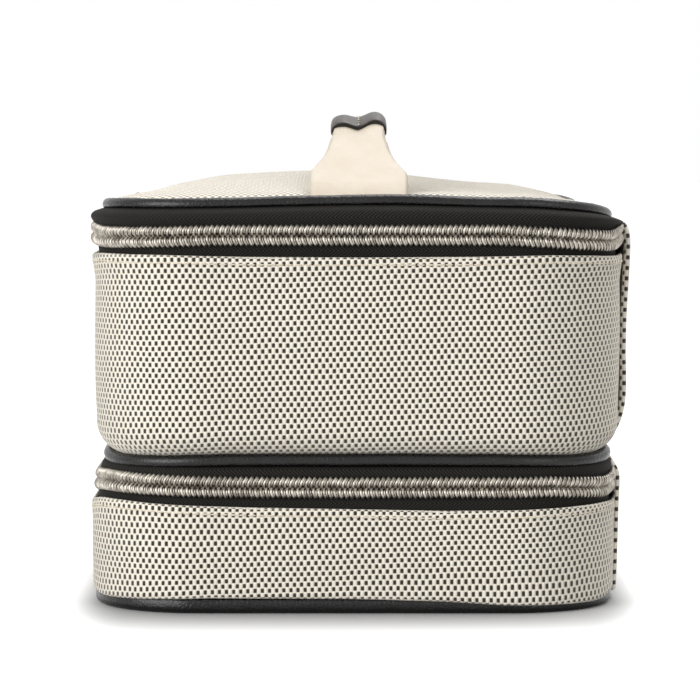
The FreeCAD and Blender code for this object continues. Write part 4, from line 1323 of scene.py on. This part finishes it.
def tabPath(level):
    # a strip folded over the pull's bar, from the front layer's end over the bar to the back layer's end
    t = pullTab
    bar = level - t["bar"]
    path = []
    for layer in (-1, 1):
        leg = []
        for i in range(15):
            z = level - t["length"] + (t["length"] - t["bar"]) * i / 14
            gap = t["gap"] + (t["loop"] - t["gap"]) * smoothStep(bar - t["join"], bar, z)
            leg.append((layer * gap + tabSway(level, z), z))
        turn = [(layer * t["loop"] * math.cos(a), bar + t["loop"] * math.sin(a))
                for a in (math.pi * i / 12 for i in range(1, 7 if layer < 0 else 6))]
        path += leg + turn if layer < 0 else (leg + turn)[::-1]
    return [(t["y"] + out, z) for out, z in path]


def makeTab(name, x, level, body, node):
    t = pullTab
    grid, flat = [], []
    path = tabPath(level)
    for j in range(13):
        share = 2 * j / 12 - 1
        rounding = max(0.0, abs(share) - t["cornerFrom"]) / (1 - t["cornerFrom"])
        column, places = [], []
        for (y, z), s in zip(path, lengths(path)):
            low = (level - z - t["bar"]) / (t["length"] - t["bar"])
            half = t["topHalf"] + (t["half"] - t["topHalf"]) * smoothStep(0.0, 0.5, low)
            lift = t["cornerRise"] * rounding ** 2 * smoothStep(0.86, 1.0, low)
            column.append((x + half * share, y, z + lift))
            places.append((half * share, s))
        grid.append(column)
        flat.append(places)
    piece = thickSheet(name, grid, t["skin"], flat, finishes["blackLeather"])
    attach(piece, body)
    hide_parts(node)
    rows = []
    seamRun = t["length"] - t["bar"] - t["join"] - t["seamLow"] - t["seamHigh"]
    for side in (-1, 1):
        row = []
        for i in range(9):
            z = level - t["length"] + t["seamLow"] + seamRun * i / 8
            face = t["y"] + tabSway(level, z) - t["gap"] - t["skin"] / 2
            row.append((x + side * (t["half"] - t["seam"]), face - t["seamLift"], z))
        rows.append(row)
    seam = repeatAlong(name + "Stitches", rows, tabStitch, t["stitchPitch"], finishes["blackThread"], 0.05, 9)
    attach(seam, body)


for zipName in ("lid", "base"):
    for sideName in ("left", "right"):
        node = f"{zipName}_tab_{sideName}"
        low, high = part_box(node)
        makeTab(f"{zipName}Tab{sideName.title()}", (low[0] + high[0]) / 2 / mm, coil[zipName + "Level"],
                f"{zipName}_pull_{sideName}", node)

for name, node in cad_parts.items():
    paint = None
    if "slider" in name or "_pull_" in name:
        paint = finishes["hardware"]
    elif name in ("base_board", "floor_board"):
        paint = finishes["board"]
    if paint:
        node.data.materials.clear()
        node.data.materials.append(paint)
print("pull tabs made")

for piece in units:
    bpy.data.objects.remove(piece)

# studio

studio = dict(cameraDistance=1102.0, cameraHeight=157.0, pitch=0.0678, side=-2.3, focal=3575.0, photoSide=700,
              sensor=36.0, world=0.4, floorShade=0.42, floorWhite=0.85, floorSide=70.0, floorSize=6.0)


def studioFloor():
    made = Finish("studio floor", roughness=0.9)
    spot = made.place()
    x, y, _ = made.split(spot)
    sideways = (abs(x) - cornerX).math("MAXIMUM", 0.0)
    endways = (abs(y) - cornerY).math("MAXIMUM", 0.0)
    beside = (abs(y) - studio["floorSide"]).math("MAXIMUM", 0.0)  # the painted shadow reaches less far along the sides
    # the glow is kept off near the case and fades in with distance from its outline, so the floor darkens
    # round the foot: a painted shadow added to the real one
    away = (sideways * sideways + endways * endways) ** 0.5 - case["corner"]
    glowOutsidePaintedShadow = (away + beside * beside * 0.08).step(-4.0, 58.0) * studio["floorWhite"]
    greys = [(grey, grey, grey, 1) for grey in (studio["floorShade"], studio["floorShade"] + 0.02)]
    made.feed(baseColor=made.mix(made.grain(spot, 60.0, 2.0), *greys))
    rays = made.node("ShaderNodeLightPath").socket.node.outputs
    seen = [Tone(made, rays[k]) for k in ("Is Camera Ray", "Is Glossy Ray", "Is Transmission Ray")]
    shown = seen[0].math("MAXIMUM", seen[1]).math("MAXIMUM", seen[2])
    glow = made.node("ShaderNodeEmission", None, {"Color": (1, 1, 1, 1), "Strength": shown * glowOutsidePaintedShadow})
    total = made.node("ShaderNodeAddShader", None, [Tone(made, made.shader.outputs[0]), glow])
    made.tree.links.new(total.socket, made.tree.nodes["Material Output"].inputs["Surface"])
    far = studio["floorSize"]
    mesh = bpy.data.meshes.new("floor")
    mesh.from_pydata([(-far, -far, 0), (far, -far, 0), (far, far, 0), (-far, far, 0)], [], [(0, 1, 2, 3)])
    mesh.materials.append(made.material)
    piece = bpy.data.objects.new("floor", mesh)
    bpy.context.collection.objects.link(piece)
    piece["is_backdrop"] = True


def studioWorld():  # white to the camera and in reflections, dimmer as a light
    world = bpy.data.worlds.new("studio")
    bpy.context.scene.world = world
    world.use_nodes = True
    tree = world.node_tree
    shade = tree.nodes["Background"]
    shade.inputs["Color"].default_value = (1, 1, 1, 1)
    rays = tree.nodes.new("ShaderNodeLightPath").outputs

    def either(first, second):
        made = tree.nodes.new("ShaderNodeMath")
        made.operation = "MAXIMUM"
        tree.links.new(first, made.inputs[0])
        tree.links.new(second, made.inputs[1])
        return made.outputs[0]

    power = tree.nodes.new("ShaderNodeMapRange")
    mirrored = either(rays["Is Glossy Ray"], rays["Is Transmission Ray"])
    tree.links.new(either(rays["Is Camera Ray"], mirrored), power.inputs["Value"])
    power.inputs["To Min"].default_value = studio["world"]
    power.inputs["To Max"].default_value = 1.0
    tree.links.new(power.outputs[0], shade.inputs["Strength"])


def softLamp(name, place, aim, size, watts):
    data = bpy.data.lights.new(name, "AREA")
    data.shape = "DISK"
    data.size = size
    data.energy = watts
    lamp = bpy.data.objects.new(name, data)
    lamp.location = place
    lamp.rotation_euler = (Vector(aim) - Vector(place)).to_track_quat("-Z", "Y").to_euler()
    bpy.context.collection.objects.link(lamp)


studioFloor()
studioWorld()
softLamp("key", (1.08, -1.1, 0.5), (0, 0, 0.07), size=1.4, watts=22.5)
softLamp("top", (-0.35, 0.3, 1.2), (0, 0, 0.1), size=1.0, watts=11)
softLamp("fill", (1.3, 0.9, 0.5), (0, 0, 0.07), size=1.0, watts=4)

bpy.context.scene.view_settings.view_transform = "Standard"
eye = bpy.data.cameras.new("camera")
eye.sensor_width = studio["sensor"]
eye.lens = studio["sensor"] * studio["focal"] / studio["photoSide"]
eye.clip_start = 0.01
camera = bpy.data.objects.new("camera", eye)
eyeX = case["length"] / 2 + studio["cameraDistance"]
camera.location = Vector((eyeX, studio["side"], studio["cameraHeight"])) * mm
camera.rotation_euler = (math.pi / 2 - math.atan(studio["pitch"]), 0, math.pi / 2)
bpy.context.collection.objects.link(camera)
bpy.context.scene.camera = camera
print("studio ready")

low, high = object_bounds()
